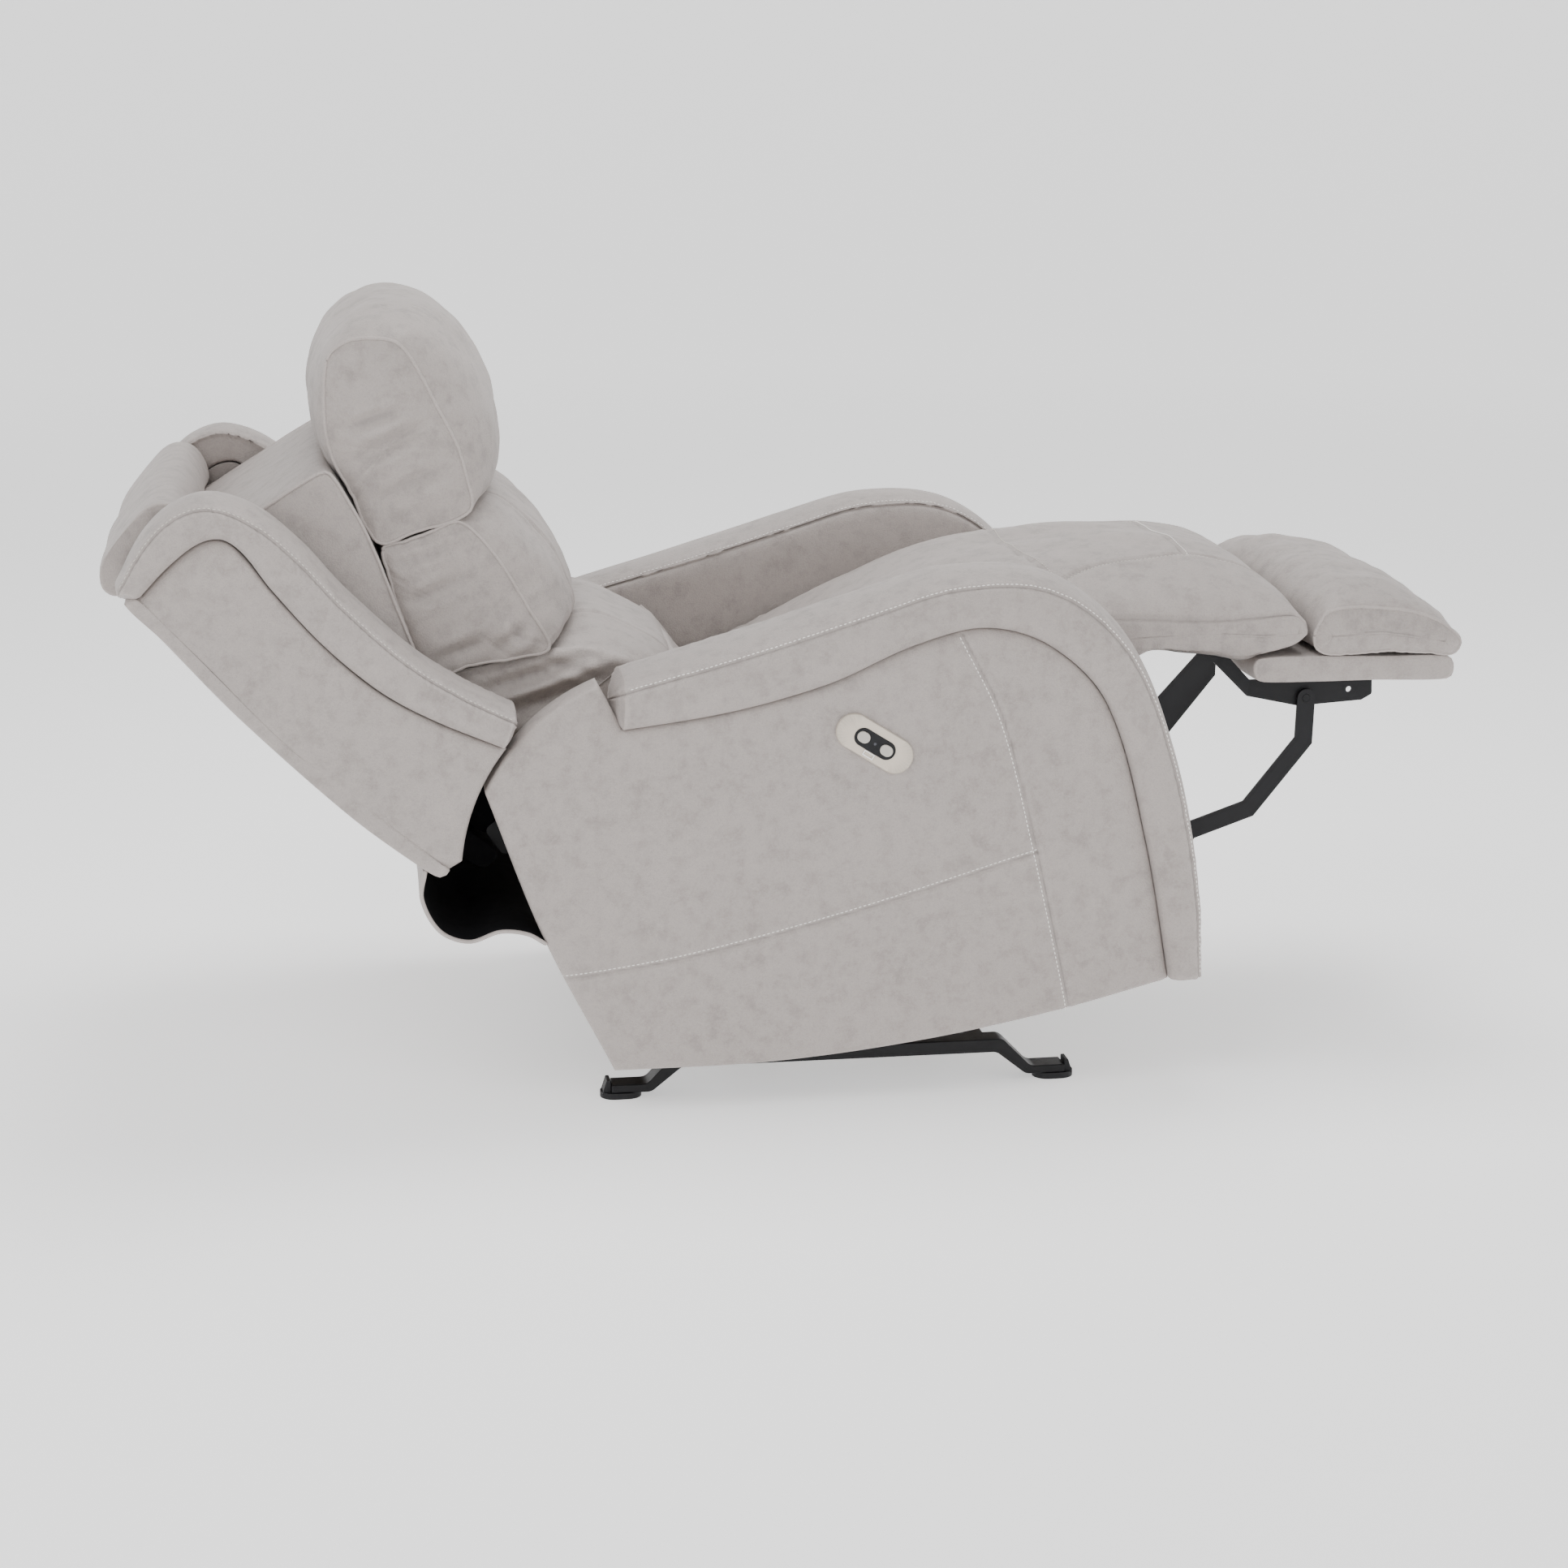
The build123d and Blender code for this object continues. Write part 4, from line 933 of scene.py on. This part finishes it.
class RECLINER_OT_stage(bpy.types.Operator):
    """Pale round floor that curves up all round, soft lights and the camera"""

    bl_idname = "recliner.stage"
    bl_label = "Stage"

    def execute(self, context):
        flat, bend, top, sides = 9.0, 3.0, 7.0, 72
        turn = np.linspace(0, np.pi / 2, 16)
        reach = np.concatenate([np.linspace(0.01, flat, 12)[:-1], flat + bend * np.sin(turn), [flat + bend]])
        rise = np.concatenate([np.zeros(11), bend * (1 - np.cos(turn)), [top]])
        angle = np.linspace(0, 2 * np.pi, sides, endpoint=False)
        grid = np.stack([reach[:, None] * np.cos(angle), reach[:, None] * np.sin(angle),
                         rise[:, None] + 0 * angle], axis=-1)
        material, _, shader, _ = new_material("Studio paper")
        shader.inputs["Base Color"].default_value = (0.93, 0.93, 0.93, 1)
        shader.inputs["Emission Color"].default_value = (1, 1, 1, 1)
        shader.inputs["Emission Strength"].default_value = 0.6
        shader.inputs["Roughness"].default_value = 0.9
        shader.inputs["Specular IOR Level"].default_value = 0.1
        faces = quads(len(reach), sides, True).tolist() + [list(range(sides))]
        floor = mesh_piece("studio_floor", grid, faces, material)
        world = bpy.data.worlds.new("Studio")
        world.use_nodes = True
        world.node_tree.nodes["Background"].inputs[0].default_value = (1, 1, 1, 1)
        world.node_tree.nodes["Background"].inputs[1].default_value = 0.5
        context.scene.world = world
        middle = Vector((0, 0, 0.45))
        for name, spot, size, power in (
            ("key", (-1.8, -2.6, 3.4), 1.8, 50), ("fill", (3.0, -2.2, 2.2), 2.4, 8),
            ("top", (0.2, 0.6, 3.6), 2.0, 85),
        ):
            lamp = bpy.data.lights.new(name, "AREA")
            lamp.energy = power
            lamp.size = size
            holder = bpy.data.objects.new(name, lamp)
            holder.location = spot
            aim = middle - Vector(spot)
            holder.rotation_euler = aim.to_track_quat("-Z", "Y").to_euler()
            context.scene.collection.objects.link(holder)
        lens = bpy.data.cameras.new("view")
        lens.lens = 71.89
        lens.sensor_width = 36.0
        camera = bpy.data.objects.new("view", lens)
        yaw, pitch = np.radians(8.391), np.radians(13.434)
        ahead = Vector((np.sin(yaw) * np.cos(pitch), np.cos(yaw) * np.cos(pitch), -np.sin(pitch)))
        camera.location = (-0.6098 + CENTRING * MM, -4.164, 1.342)
        camera.rotation_euler = ahead.to_track_quat("-Z", "Y").to_euler()
        context.scene.collection.objects.link(camera)
        context.scene.camera = camera
        return {"FINISHED"}


def leather_piece(piece, body, nodes=()):
    """Ride of a leather piece on a body, with the frame nodes that it replaces hidden."""
    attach(piece, body)
    if nodes:
        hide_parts(*nodes)


def bending_leather(piece, bodies, start, end):
    """Leather piece with its transform baked into its mesh; bodies, start and end are not used."""
    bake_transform(piece)


def seam_thread(name, grid, normals, column, body, shift):
    """Stitches along a column of a roll's grid, moved sideways by a share of a column."""
    rows = slice(CAP_RINGS + 1, grid.shape[0] - CAP_RINGS - 1)
    path = grid[rows, column] * (1 - shift) + grid[rows, column + 1] * shift
    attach(stitches(name, path, normals[rows, column]), body)


class RECLINER_OT_arms(bpy.types.Operator):
    """Both arms: padded roll, outer panel with two seams, and inner panel, with their stitching"""

    bl_idname = "recliner.arms"
    bl_label = "Arms"

    def execute(self, context):
        leather = finish("leather")
        puff = sizes().swell / MM
        patch, inner_side = arm_patch(), inner_patch()
        for side, word in ((1, "left"), (-1, "right")):
            seed = 11 if side > 0 else 23
            roll, grid, normals, starts = roll_piece(
                f"arm_roll_leather_{word}", BODY, ROLL_OUTER, ROLL_INNER, side, ARM_INNER + 1, seed, leather)
            leather_piece(roll, "seat_frame", [f"arm_roll_{word}"])
            for label, column, shift in (
                ("outer", starts[SEAM_POINT] + 1, 0.4), ("inner", starts[INNER_SEAM_POINT] - 2, 0.5),
            ):
                seam_thread(f"arm_roll_thread_{word}_{label}", grid, normals, column, "seat_frame", shift)
            panel, front = panel_piece(f"arm_panel_leather_{word}", BODY, patch, side, PANEL_FACE - puff,
                                       PANEL_REAR, puff, [FRONT_SEAM, LOWER_SEAM], seed + 2, leather)
            leather_piece(panel, "seat_frame", [f"arm_panel_{word}"])
            liner, _ = panel_piece(f"arm_inner_leather_{word}", BODY, inner_side, side, ARM_INNER + 3.5,
                                   ARM_INNER + 8.5, 2.5, [], seed + 4, leather, turn=-1)
            leather_piece(liner, "seat_frame", [f"arm_inner_{word}"])
            for label, seam, offset in (("front", FRONT_SEAM, -5.0), ("lower", LOWER_SEAM, 4.5)):
                path, normal = seam_on_panel(front, BODY, seam, side, offset)
                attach(stitches(f"arm_panel_thread_{label}_{word}", path, normal), "seat_frame")
        return {"FINISHED"}


class RECLINER_OT_wings(bpy.types.Operator):
    """Both wings of the back: padded roll and outer panel"""

    bl_idname = "recliner.wings"
    bl_label = "Wings"

    def execute(self, context):
        leather = finish("leather")
        puff = sizes().swell / MM
        patch = wing_patch()
        for side, word in ((1, "left"), (-1, "right")):
            seed = 41 if side > 0 else 53
            roll, grid, normals, starts = roll_piece(
                f"wing_roll_leather_{word}", BACK, WING_OUTER, WING_INSIDE, side, WING_INNER + 1, seed,
                leather)
            leather_piece(roll, "backrest", [f"wing_roll_{word}"])
            seam_thread(
                f"wing_roll_thread_{word}_outer", grid, normals, starts[SEAM_POINT] + 1, "backrest", 0.4)
            panel, _ = panel_piece(f"wing_panel_leather_{word}", BACK, patch, side, PANEL_FACE - puff,
                                   WING_INNER + 3, puff, [], seed + 2, leather)
            leather_piece(panel, "backrest", [f"wing_panel_{word}"])
        return {"FINISHED"}


class RECLINER_OT_back(bpy.types.Operator):
    """Outer back, top roll, inner box and lower pad of the backrest"""

    bl_idname = "recliner.back"
    bl_label = "Back"

    def execute(self, context):
        leather = finish("leather")
        rear = [(x - 1, z) for x, z in REAR_LINE]
        front = [(x + 13, z) for x, z in REAR_LINE[::-1]]
        outline = rear + front
        swollen = [(x - (7 if 0 < i < len(rear) - 1 else 2), z) for i, (x, z) in enumerate(rear)] + front
        grid, _, _ = block_grid(
            BACK, outline, swollen, PANEL_FACE - 2, rows=90, bulge=1.0, power=8, ease=0.6)
        amount = rumpled(grid, 0.25, 0.0011, 71)
        panel, _, _ = dressed("outer_back_leather", grid, amount, leather)
        leather_piece(panel, "backrest", ["back_panel"])

        top = [(-604, 1036), (-594, 1054), (-572, 1068), (-530, 1080), (-494, 1083), (-474, 1068),
               (-472, 1040), (-486, 1014), (-530, 1010), (-575, 1012), (-598, 1020)]
        high = [(x, z + (5 if z > 1050 else 0)) for x, z in top]
        grid, _, _ = block_grid(BACK, top, high, WING_INNER - 1, rows=120, step=6.0, bulge=2.0, power=6)
        amount = rumpled(grid, 0.12, 0.0016, 73)
        roll, _, _ = dressed("back_top_roll_leather", grid, amount, leather)
        leather_piece(roll, "backrest", ["back_top_roll"])

        side = [(-517, 1002), (-470, 1005), (-400, 1002), (-330, 1000), (-300, 994), (-297, 975),
                (-309, 880), (-348, 728), (-364, 640), (-372, 612), (-420, 606), (-468, 640), (-500, 760),
                (-520, 900)]
        centre = [(x, z + 6) if z > 980 else (x, z) for x, z in side]
        grid, rims, starts = block_grid(
            BACK, side, centre, WING_INNER - 8, rows=70, step=7.0, bulge=4.0, power=6)
        amount = rumpled(grid, 0.2, 0.0016, 77)
        for row, seed in zip(rims, (5, 6)):
            amount += gathered(grid, row, 0.0022, 0.03, 9, seed)
        box, moved, _ = dressed("inner_back_leather", grid, amount, leather)
        leather_piece(box, "backrest", ["inner_back"])
        for row, word in zip(rims, ("right", "left")):
            path = moved[row, starts[0]:starts[8]]
            welt = tube_along(f"inner_back_welt_{word}", path, sizes().welt, leather)
            leather_piece(welt, "backrest")

        low = [(-366, 606), (-362, 540), (-366, 505), (-410, 490), (-425, 520), (-425, 593)]
        grid, _, _ = block_grid(BACK, low, low, PAD_HALF - 30, rows=30, bulge=2.0)
        pad, _, _ = dressed("back_lower_lining", grid, rumpled(grid, 0.1, 0.001, 79), finish("lining"))
        leather_piece(pad, "backrest", ["back_pad_lower"])
        hem = [(-505, 650), (-485, 590), (-464, 528), (-446, 474), (-438, 464), (-422, 464), (-414, 472),
               (-432, 528), (-452, 590), (-472, 650), (-488, 656)]
        grid, _, _ = block_grid(BACK, hem, hem, PAD_HALF + 1, rows=40, bulge=2.0)
        wrap, _, _ = dressed("back_hem_lining", grid, rumpled(grid, 0.08, 0.0008, 83), finish("lining"))
        leather_piece(wrap, "backrest")
        return {"FINISHED"}


HEAD_SIDE = [
    (-218, 1103), (-186, 1107), (-155, 1090), (-136, 1068), (-135, 1030), (-143, 975), (-150, 925),
    (-163, 888), (-180, 852), (-204, 849), (-262, 868), (-298, 880), (-301, 910), (-294, 945),
    (-284, 1000), (-262, 1048),
]
HEAD_CENTRE = [
    (-215, 1118), (-170, 1126), (-122, 1114), (-84, 1078), (-66, 1025), (-66, 970), (-80, 920),
    (-108, 876), (-148, 848), (-204, 845), (-262, 866), (-298, 880), (-302, 910), (-299, 950),
    (-298, 1010), (-268, 1078),
]
MID_SIDE = [
    (-303, 874), (-270, 866), (-235, 856), (-205, 846), (-195, 818), (-193, 765), (-198, 700),
    (-206, 648), (-250, 666), (-300, 690), (-344, 706), (-338, 760), (-322, 820),
]
MID_CENTRE = [
    (-303, 875), (-270, 865), (-210, 846), (-158, 840), (-134, 800), (-126, 745), (-132, 690),
    (-156, 648), (-230, 650), (-300, 682), (-344, 700), (-338, 760), (-322, 820),
]
LUMBAR_SIDE = [
    (-340, 690), (-270, 668), (-215, 640), (-170, 606), (-140, 570), (-133, 535), (-148, 506),
    (-230, 496), (-310, 502), (-350, 540), (-352, 640),
]
LUMBAR_CENTRE = [
    (-340, 690), (-270, 672), (-200, 660), (-142, 636), (-105, 588), (-82, 535), (-95, 508),
    (-190, 497), (-310, 500), (-350, 540), (-352, 640),
]


def pillow(name, side, centre, seed, creases, pleats=13, half=PAD_HALF, bulge=16.0, front=None):
    """Back pillow: swollen block with gathers at both side seams and creases on its side panels.

    front holds the first and last outline point of the face that two panel seams run down."""
    grid, rims, starts = block_grid(
        BACK, side, centre, half, rows=120, step=5.5, bulge=bulge, power=2.6, ease=0.62)
    amount = rumpled(grid, 0.13, 0.0024, seed) + rumpled(grid, 0.05, 0.0006, seed + 3)
    for row, extra in zip(rims, (1, 2)):
        amount += gathered(grid, row, sizes().pleat, 0.042, pleats, seed + extra * 10)
    for start, end, width, depth in creases:
        amount += creased(grid, start, end, width, depth)
    if front:
        column = np.linspace(starts[front[0]], starts[front[1]], 220)
        between = rims[1] - rims[0]
        lines = [
            on_grid(grid, np.full(220, rims[0] + between * share) + 2.5 * np.sin(column / 21), column)
            for share in (0.27, 0.73)
        ]
        amount += seam_dip(grid, lines, 0.003, 0.0035)
    piece, moved, _ = dressed(name, grid, amount, finish("leather"))
    return piece, [moved[row] for row in rims]


def side_creases(edge, rows):
    """The same creases on both side panels: ends in the back's side frame, width and depth."""
    return [
        (BACK.at(*start, y), BACK.at(*end, y), width * MM, depth * MM)
        for y in (-edge, edge) for start, end, width, depth in rows
    ]


def welt_round(name, loop):
    """Thin rolled seam round a side panel's rim."""
    path = np.concatenate([loop, loop[:1]])
    tangent = np.roll(path, -1, axis=0) - path
    keep = np.linalg.norm(tangent, axis=1) > 1e-9
    return tube_along(name, path[keep], sizes().welt, finish("leather"))


class RECLINER_OT_pillows(bpy.types.Operator):
    """Headrest, middle and lumbar pillows, with their welts and creases"""

    bl_idname = "recliner.pillows"
    bl_label = "Back pillows"

    def execute(self, context):
        creases = side_creases(PILLOW_EDGE, (
            ((-268, 982), (-160, 966), 9, 8), ((-285, 925), (-175, 912), 9, 6),
            ((-250, 1022), (-182, 1002), 7, 5), ((-215, 1088), (-186, 1050), 8, 4),
        ))
        head, loops = pillow("head_pillow_leather", HEAD_SIDE, HEAD_CENTRE, 101, creases)
        bend = (BACK.at(-200, 915, 0), BACK.at(-215, 1015, 0))
        bending_leather(head, ("backrest", "headrest"), *bend)
        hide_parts("neck_pillow", "headrest_pillow")
        for loop, word in zip(loops, ("right", "left")):
            bending_leather(welt_round(f"head_pillow_welt_{word}", loop), ("backrest", "headrest"), *bend)

        creases = side_creases(PILLOW_EDGE, (
            ((-325, 800), (-240, 785), 8, 6), ((-310, 850), (-215, 822), 6, 6),
            ((-335, 720), (-260, 700), 9, 7), ((-280, 680), (-205, 690), 8, 7),
            ((-235, 660), (-200, 760), 6, 4),
        ))
        mid, loops = pillow("mid_pillow_leather", MID_SIDE, MID_CENTRE, 131, creases, front=(3, 7))
        leather_piece(mid, "backrest", ["mid_pillow"])
        for loop, word in zip(loops, ("right", "left")):
            leather_piece(welt_round(f"mid_pillow_welt_{word}", loop), "backrest")

        creases = side_creases(LUMBAR_EDGE, (
            ((-310, 650), (-140, 600), 8, 12), ((-330, 615), (-130, 560), 10, 14),
            ((-335, 575), (-150, 525), 9, 12), ((-230, 655), (-165, 560), 6, 8),
            ((-190, 630), (-110, 560), 6, 8),
        ))
        lumbar, _ = pillow(
            "lumbar_pillow_leather", LUMBAR_SIDE, LUMBAR_CENTRE, 161, creases, pleats=17,
            half=PAD_HALF - 14, bulge=5.0, front=(2, 6))
        leather_piece(lumbar, "backrest", ["lumbar_pillow"])

        tuck = [(-196, 556), (-184, 568), (-172, 552), (-158, 526), (-142, 498), (-146, 488), (-160, 492),
                (-178, 524)]
        full = [(x + (6 if z > 495 else 0), z) for x, z in tuck]
        grid, rims, _ = block_grid(BODY, tuck, full, PAD_HALF - 12, rows=110, step=4.0, bulge=4.0)
        amount = rumpled(grid, 0.07, 0.0016, 191)
        for row, seed in zip(rims, (3, 4)):
            amount += gathered(grid, row, sizes().pleat, 0.05, 9, 190 + seed)
        apron, _, _ = dressed("seat_back_apron_leather", grid, amount, finish("leather"))
        bending_leather(
            apron, ("seat_frame", "backrest"), BODY.at(-148, 492, 0), BODY.at(-184, 558, 0))
        return {"FINISHED"}


SEAT_SIDE = [
    (-222, 470), (-139, 490), (-40, 512), (90, 534), (224, 556), (330, 558), (411, 549), (470, 538),
    (530, 529), (583, 525), (625, 521), (640, 508), (641, 492), (620, 479), (580, 474), (548, 470),
    (513, 481), (470, 492), (422, 501), (366, 468), (240, 457), (0, 446), (-215, 436), (-226, 450),
]
SEAT_CENTRE = [
    (-222, 474), (-139, 491), (-50, 524), (80, 586), (220, 622), (330, 628), (409, 624), (488, 612),
    (545, 601), (596, 580), (626, 552), (642, 520), (641, 494), (620, 482), (580, 480), (548, 505),
    (513, 508), (470, 508), (422, 506), (366, 468), (240, 457), (0, 446), (-215, 436), (-226, 450),
]


SEAT_SPINE = [
    (-214, 452), (0, 486), (224, 510), (330, 520), (411, 526), (470, 520), (530, 512), (583, 501),
    (626, 498),
]
SEAT_REAR_SEAM = 5.0
SEAT_SEAM_SPAN = 5.6
THREAD_SHIFT = 1.1


def seat_column(starts, position):
    """Grid column at a fractional outline point."""
    return np.interp(position, np.arange(len(starts)), starts)


class RECLINER_OT_seat(bpy.types.Operator):
    """Seat cushion and chaise pad as one piece that bends over the front of the seat"""

    bl_idname = "recliner.seat"
    bl_label = "Seat and chaise"

    def execute(self, context):
        leather = finish("leather")
        grid, rims, starts = block_grid(
            BODY, SEAT_SIDE, SEAT_CENTRE, PAD_HALF, rows=180, step=5.5, bulge=3.0, power=3.0, ease=0.66,
            spine=SEAT_SPINE)
        amount = rumpled(grid, 0.17, 0.0032, 201) + rumpled(grid, 0.06, 0.0009, 203)
        for row, seed in zip(rims, (7, 8)):
            amount += gathered(grid, row, sizes().pleat * 1.2, 0.05, 34, 210 + seed)
        rows = np.interp(np.linspace(-1, 1, 400), grid[rims[0]:rims[1] + 1, 0, 1] / (PAD_HALF * MM),
                         np.arange(rims[0], rims[1] + 1))

        def across_row(share):
            return np.interp(share, np.linspace(-1, 1, 400), rows)

        t = np.linspace(0, 1, 260)
        seams = {}
        for side, word in ((-1, "right"), (1, "left")):
            share = side * (0.80 - 0.24 * np.sin(np.pi * t) ** 0.8 - 0.06 * t)
            column = seat_column(starts, SEAT_REAR_SEAM + t * SEAT_SEAM_SPAN)
            seams[f"arc_{word}"] = (across_row(share), column)
        cross = np.linspace(-0.55, 0.55, 200)
        seams["cross_front"] = (across_row(cross), seat_column(starts, 7.3 + 0.5 * np.abs(cross) ** 1.5))
        wide = np.linspace(-0.97, 0.97, 300)
        seams["cross_rear"] = (across_row(wide), seat_column(starts, 4.7 + 0.35 * np.abs(wide) ** 2))
        paths = {key: on_grid(grid, *value) for key, value in seams.items()}
        amount += seam_dip(grid, list(paths.values()), 0.0028, 0.0034)
        amount += seam_dip(grid, [grid[row] for row in rims], 0.003, 0.003)
        seat, moved, normals = dressed("seat_chaise_leather", grid, amount, leather, slit=True)
        bend = (tuple(BODY.at(392, 540, 0)), tuple(BODY.at(510, 530, 0)))
        bending_leather(seat, ("seat_frame", "leg_rest"), *bend)
        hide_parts("seat_cushion", "chaise_pad")
        for key, (row, column) in seams.items():
            if "arc" in key:
                outwards = np.where(row > grid.shape[0] / 2, THREAD_SHIFT, -THREAD_SHIFT)
                path = on_grid(moved, row + outwards, column)
            else:
                path = on_grid(moved, row, column + THREAD_SHIFT)
            thread = stitches(f"seat_thread_{key}", path, on_grid(normals, row, column))
            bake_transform(thread)
        return {"FINISHED"}


FOOT_SIDE = [
    (649, 492), (658, 508), (668, 518), (700, 520), (740, 513), (783, 502), (815, 484), (842, 456),
    (836, 441), (800, 446), (735, 455), (690, 462), (655, 470),
]
FOOT_CENTRE = [
    (650, 498), (660, 526), (680, 542), (710, 549), (746, 545), (790, 530), (826, 500), (846, 458),
    (837, 439), (800, 444), (735, 453), (690, 460), (655, 468),
]


class RECLINER_OT_foot(bpy.types.Operator):
    """Foot pad and the upholstered board under it"""

    bl_idname = "recliner.foot"
    bl_label = "Foot pad and board"

    def execute(self, context):
        leather = finish("leather")
        grid, rims, _ = block_grid(
            BODY, FOOT_SIDE, FOOT_CENTRE, PAD_HALF, rows=110, step=5.0, bulge=9.0, power=4.0, ease=0.6,
            spine=[(672, 492), (740, 486), (822, 462)])
        amount = rumpled(grid, 0.1, 0.0026, 301) + rumpled(grid, 0.045, 0.0009, 303)
        for row, seed in zip(rims, (7, 8)):
            amount += gathered(grid, row, sizes().pleat, 0.04, 15, 310 + seed)
        pad, moved, _ = dressed("foot_pad_leather", grid, amount, leather, slit=True)
        leather_piece(pad, "leg_rest", ["foot_pad"])
        for row, word in zip(rims, ("right", "left")):
            leather_piece(welt_round(f"foot_pad_welt_{word}", moved[row]), "leg_rest")

        board = [(563, 462), (572, 470), (640, 463), (740, 447), (826, 434), (833, 424), (829, 407),
                 (815, 405), (720, 418), (640, 428), (575, 437), (564, 444)]
        centre = [(x, z - (2 if z < 445 else 0)) for x, z in board]
        grid, _, _ = block_grid(
            BODY, board, centre, PAD_HALF - 1, rows=60, step=6.0, bulge=3.0, power=8)
        amount = rumpled(grid, 0.15, 0.0008, 321)
        slab, _, _ = dressed("footrest_board_leather", grid, amount, leather)
        leather_piece(slab, "leg_rest", ["footrest_board"])
        return {"FINISHED"}


class RECLINER_OT_springs(bpy.types.Operator):
    """Four coil springs between the base and the rocking body"""

    bl_idname = "recliner.springs"
    bl_label = "Rocker springs"

    def execute(self, context):
        bottom, height, radius, wire, turns = 60.6, 78.8, 14.0, 2.5, 6.5
        t = np.linspace(0, 1, 360)
        rise = np.clip((t - 0.07) / 0.86, 0, 1)
        angle = 2 * np.pi * turns * t
        for n, (x, y) in enumerate(((-2.0, 266.0), (66.0, 266.0), (-2.0, -266.0), (66.0, -266.0))):
            path = SIDE.at(x + radius * np.cos(angle), bottom + height * rise, y + radius * np.sin(angle))
            coil = tube_along(f"rocker_spring_{n + 1}", path, wire * MM, finish("wire"), helper=(0, 0, 1))
            low, high = SIDE.at(x, bottom, y), SIDE.at(x, bottom + height, y)
            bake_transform(coil)
            if n == 0:
                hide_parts("rocker_springs")
        return {"FINISHED"}


class RECLINER_OT_flap(bpy.types.Operator):
    """Leather flap with a cloth lining that hangs between the back's lower edge and the body"""

    bl_idname = "recliner.flap"
    bl_label = "Rear flap"

    def execute(self, context):
        route = [
            (-545, 400), (-554, 366), (-538, 322), (-505, 303), (-465, 309), (-432, 300), (-412, 284),
        ]
        curve = resampled(smooth_curve(route, 4.0)[0], 60)
        half, thickness, rim_radius = 396.0, 0.0022, 0.0026
        y = np.linspace(-half, half, 90)
        tangent = np.gradient(curve, axis=0)
        tangent /= np.linalg.norm(tangent, axis=1, keepdims=True)
        normal = np.stack([tangent[:, 1], -tangent[:, 0]], axis=1)
        sag = 3.0 * np.sin(np.linspace(0, np.pi, 60))[:, None] * np.cos(y / half * 5.0)[None]
        bend = (BODY.at(-412, 284, 0), BODY.at(-545, 400, 0))
        for name, offset, material in (
            ("rear_flap_leather", -1.6, "leather"), ("rear_flap_lining", 1.2, "lining"),
        ):
            x = curve[:, None, 0] + normal[:, None, 0] * (sag - offset)
            z = curve[:, None, 1] + normal[:, None, 1] * (sag - offset)
            grid = BODY.at(x, z, y[None])
            piece = mesh_piece(name, grid, quads(60, 90, False).tolist(), finish(material))
            thick = piece.modifiers.new("thickness", "SOLIDIFY")
            thick.thickness = thickness
            thick.offset = 0
            bending_leather(piece, ("seat_frame", "backrest"), *bend)
            if name == "rear_flap_leather":
                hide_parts("rear_flap")
        for word, edge in (("right", 0), ("left", -1)):
            shift = normal * sag[:, edge:edge + 1 or None]
            path = BODY.at(curve[:, 0] + shift[:, 0], curve[:, 1] + shift[:, 1], y[edge])
            rim = tube_along(f"rear_flap_rim_{word}", path, rim_radius, finish("leather"))
            bending_leather(rim, ("seat_frame", "backrest"), *bend)
        return {"FINISHED"}


CLASSES = (
    ReclinerSizes, ReclinerColours, RECLINER_OT_finishes, RECLINER_OT_stage, RECLINER_OT_arms,
    RECLINER_OT_wings, RECLINER_OT_back, RECLINER_OT_pillows, RECLINER_OT_seat, RECLINER_OT_foot,
    RECLINER_OT_springs, RECLINER_OT_flap,
)


class RECLINER_PT_panel(bpy.types.Panel):
    """Buttons that make each group of pieces"""

    bl_label = "Recliner"
    bl_idname = "RECLINER_PT_panel"
    bl_space_type = "VIEW_3D"
    bl_region_type = "UI"
    bl_category = "Recliner"

    def draw(self, context):
        for holder in (context.scene.recliner_sizes, context.scene.recliner_colours):
            for key in holder.__annotations__:
                self.layout.prop(holder, key)
        for maker in CLASSES[2:]:
            self.layout.operator(maker.bl_idname)


def register():
    """Register the settings, the operators and the panel."""
    for item in CLASSES + (RECLINER_PT_panel,):
        bpy.utils.register_class(item)
    bpy.types.Scene.recliner_sizes = bpy.props.PointerProperty(type=ReclinerSizes)
    bpy.types.Scene.recliner_colours = bpy.props.PointerProperty(type=ReclinerColours)


def unregister():
    """Remove what register added."""
    del bpy.types.Scene.recliner_sizes
    del bpy.types.Scene.recliner_colours
    for item in reversed(CLASSES + (RECLINER_PT_panel,)):
        bpy.utils.unregister_class(item)


def main():
    """Make the whole chair."""
    register()
    bpy.ops.recliner.finishes()
    bpy.ops.recliner.stage()
    bpy.ops.recliner.arms()
    bpy.ops.recliner.wings()
    bpy.ops.recliner.back()
    bpy.ops.recliner.pillows()
    bpy.ops.recliner.seat()
    bpy.ops.recliner.foot()
    bpy.ops.recliner.springs()
    bpy.ops.recliner.flap()


if __name__ == "__main__":
    main()
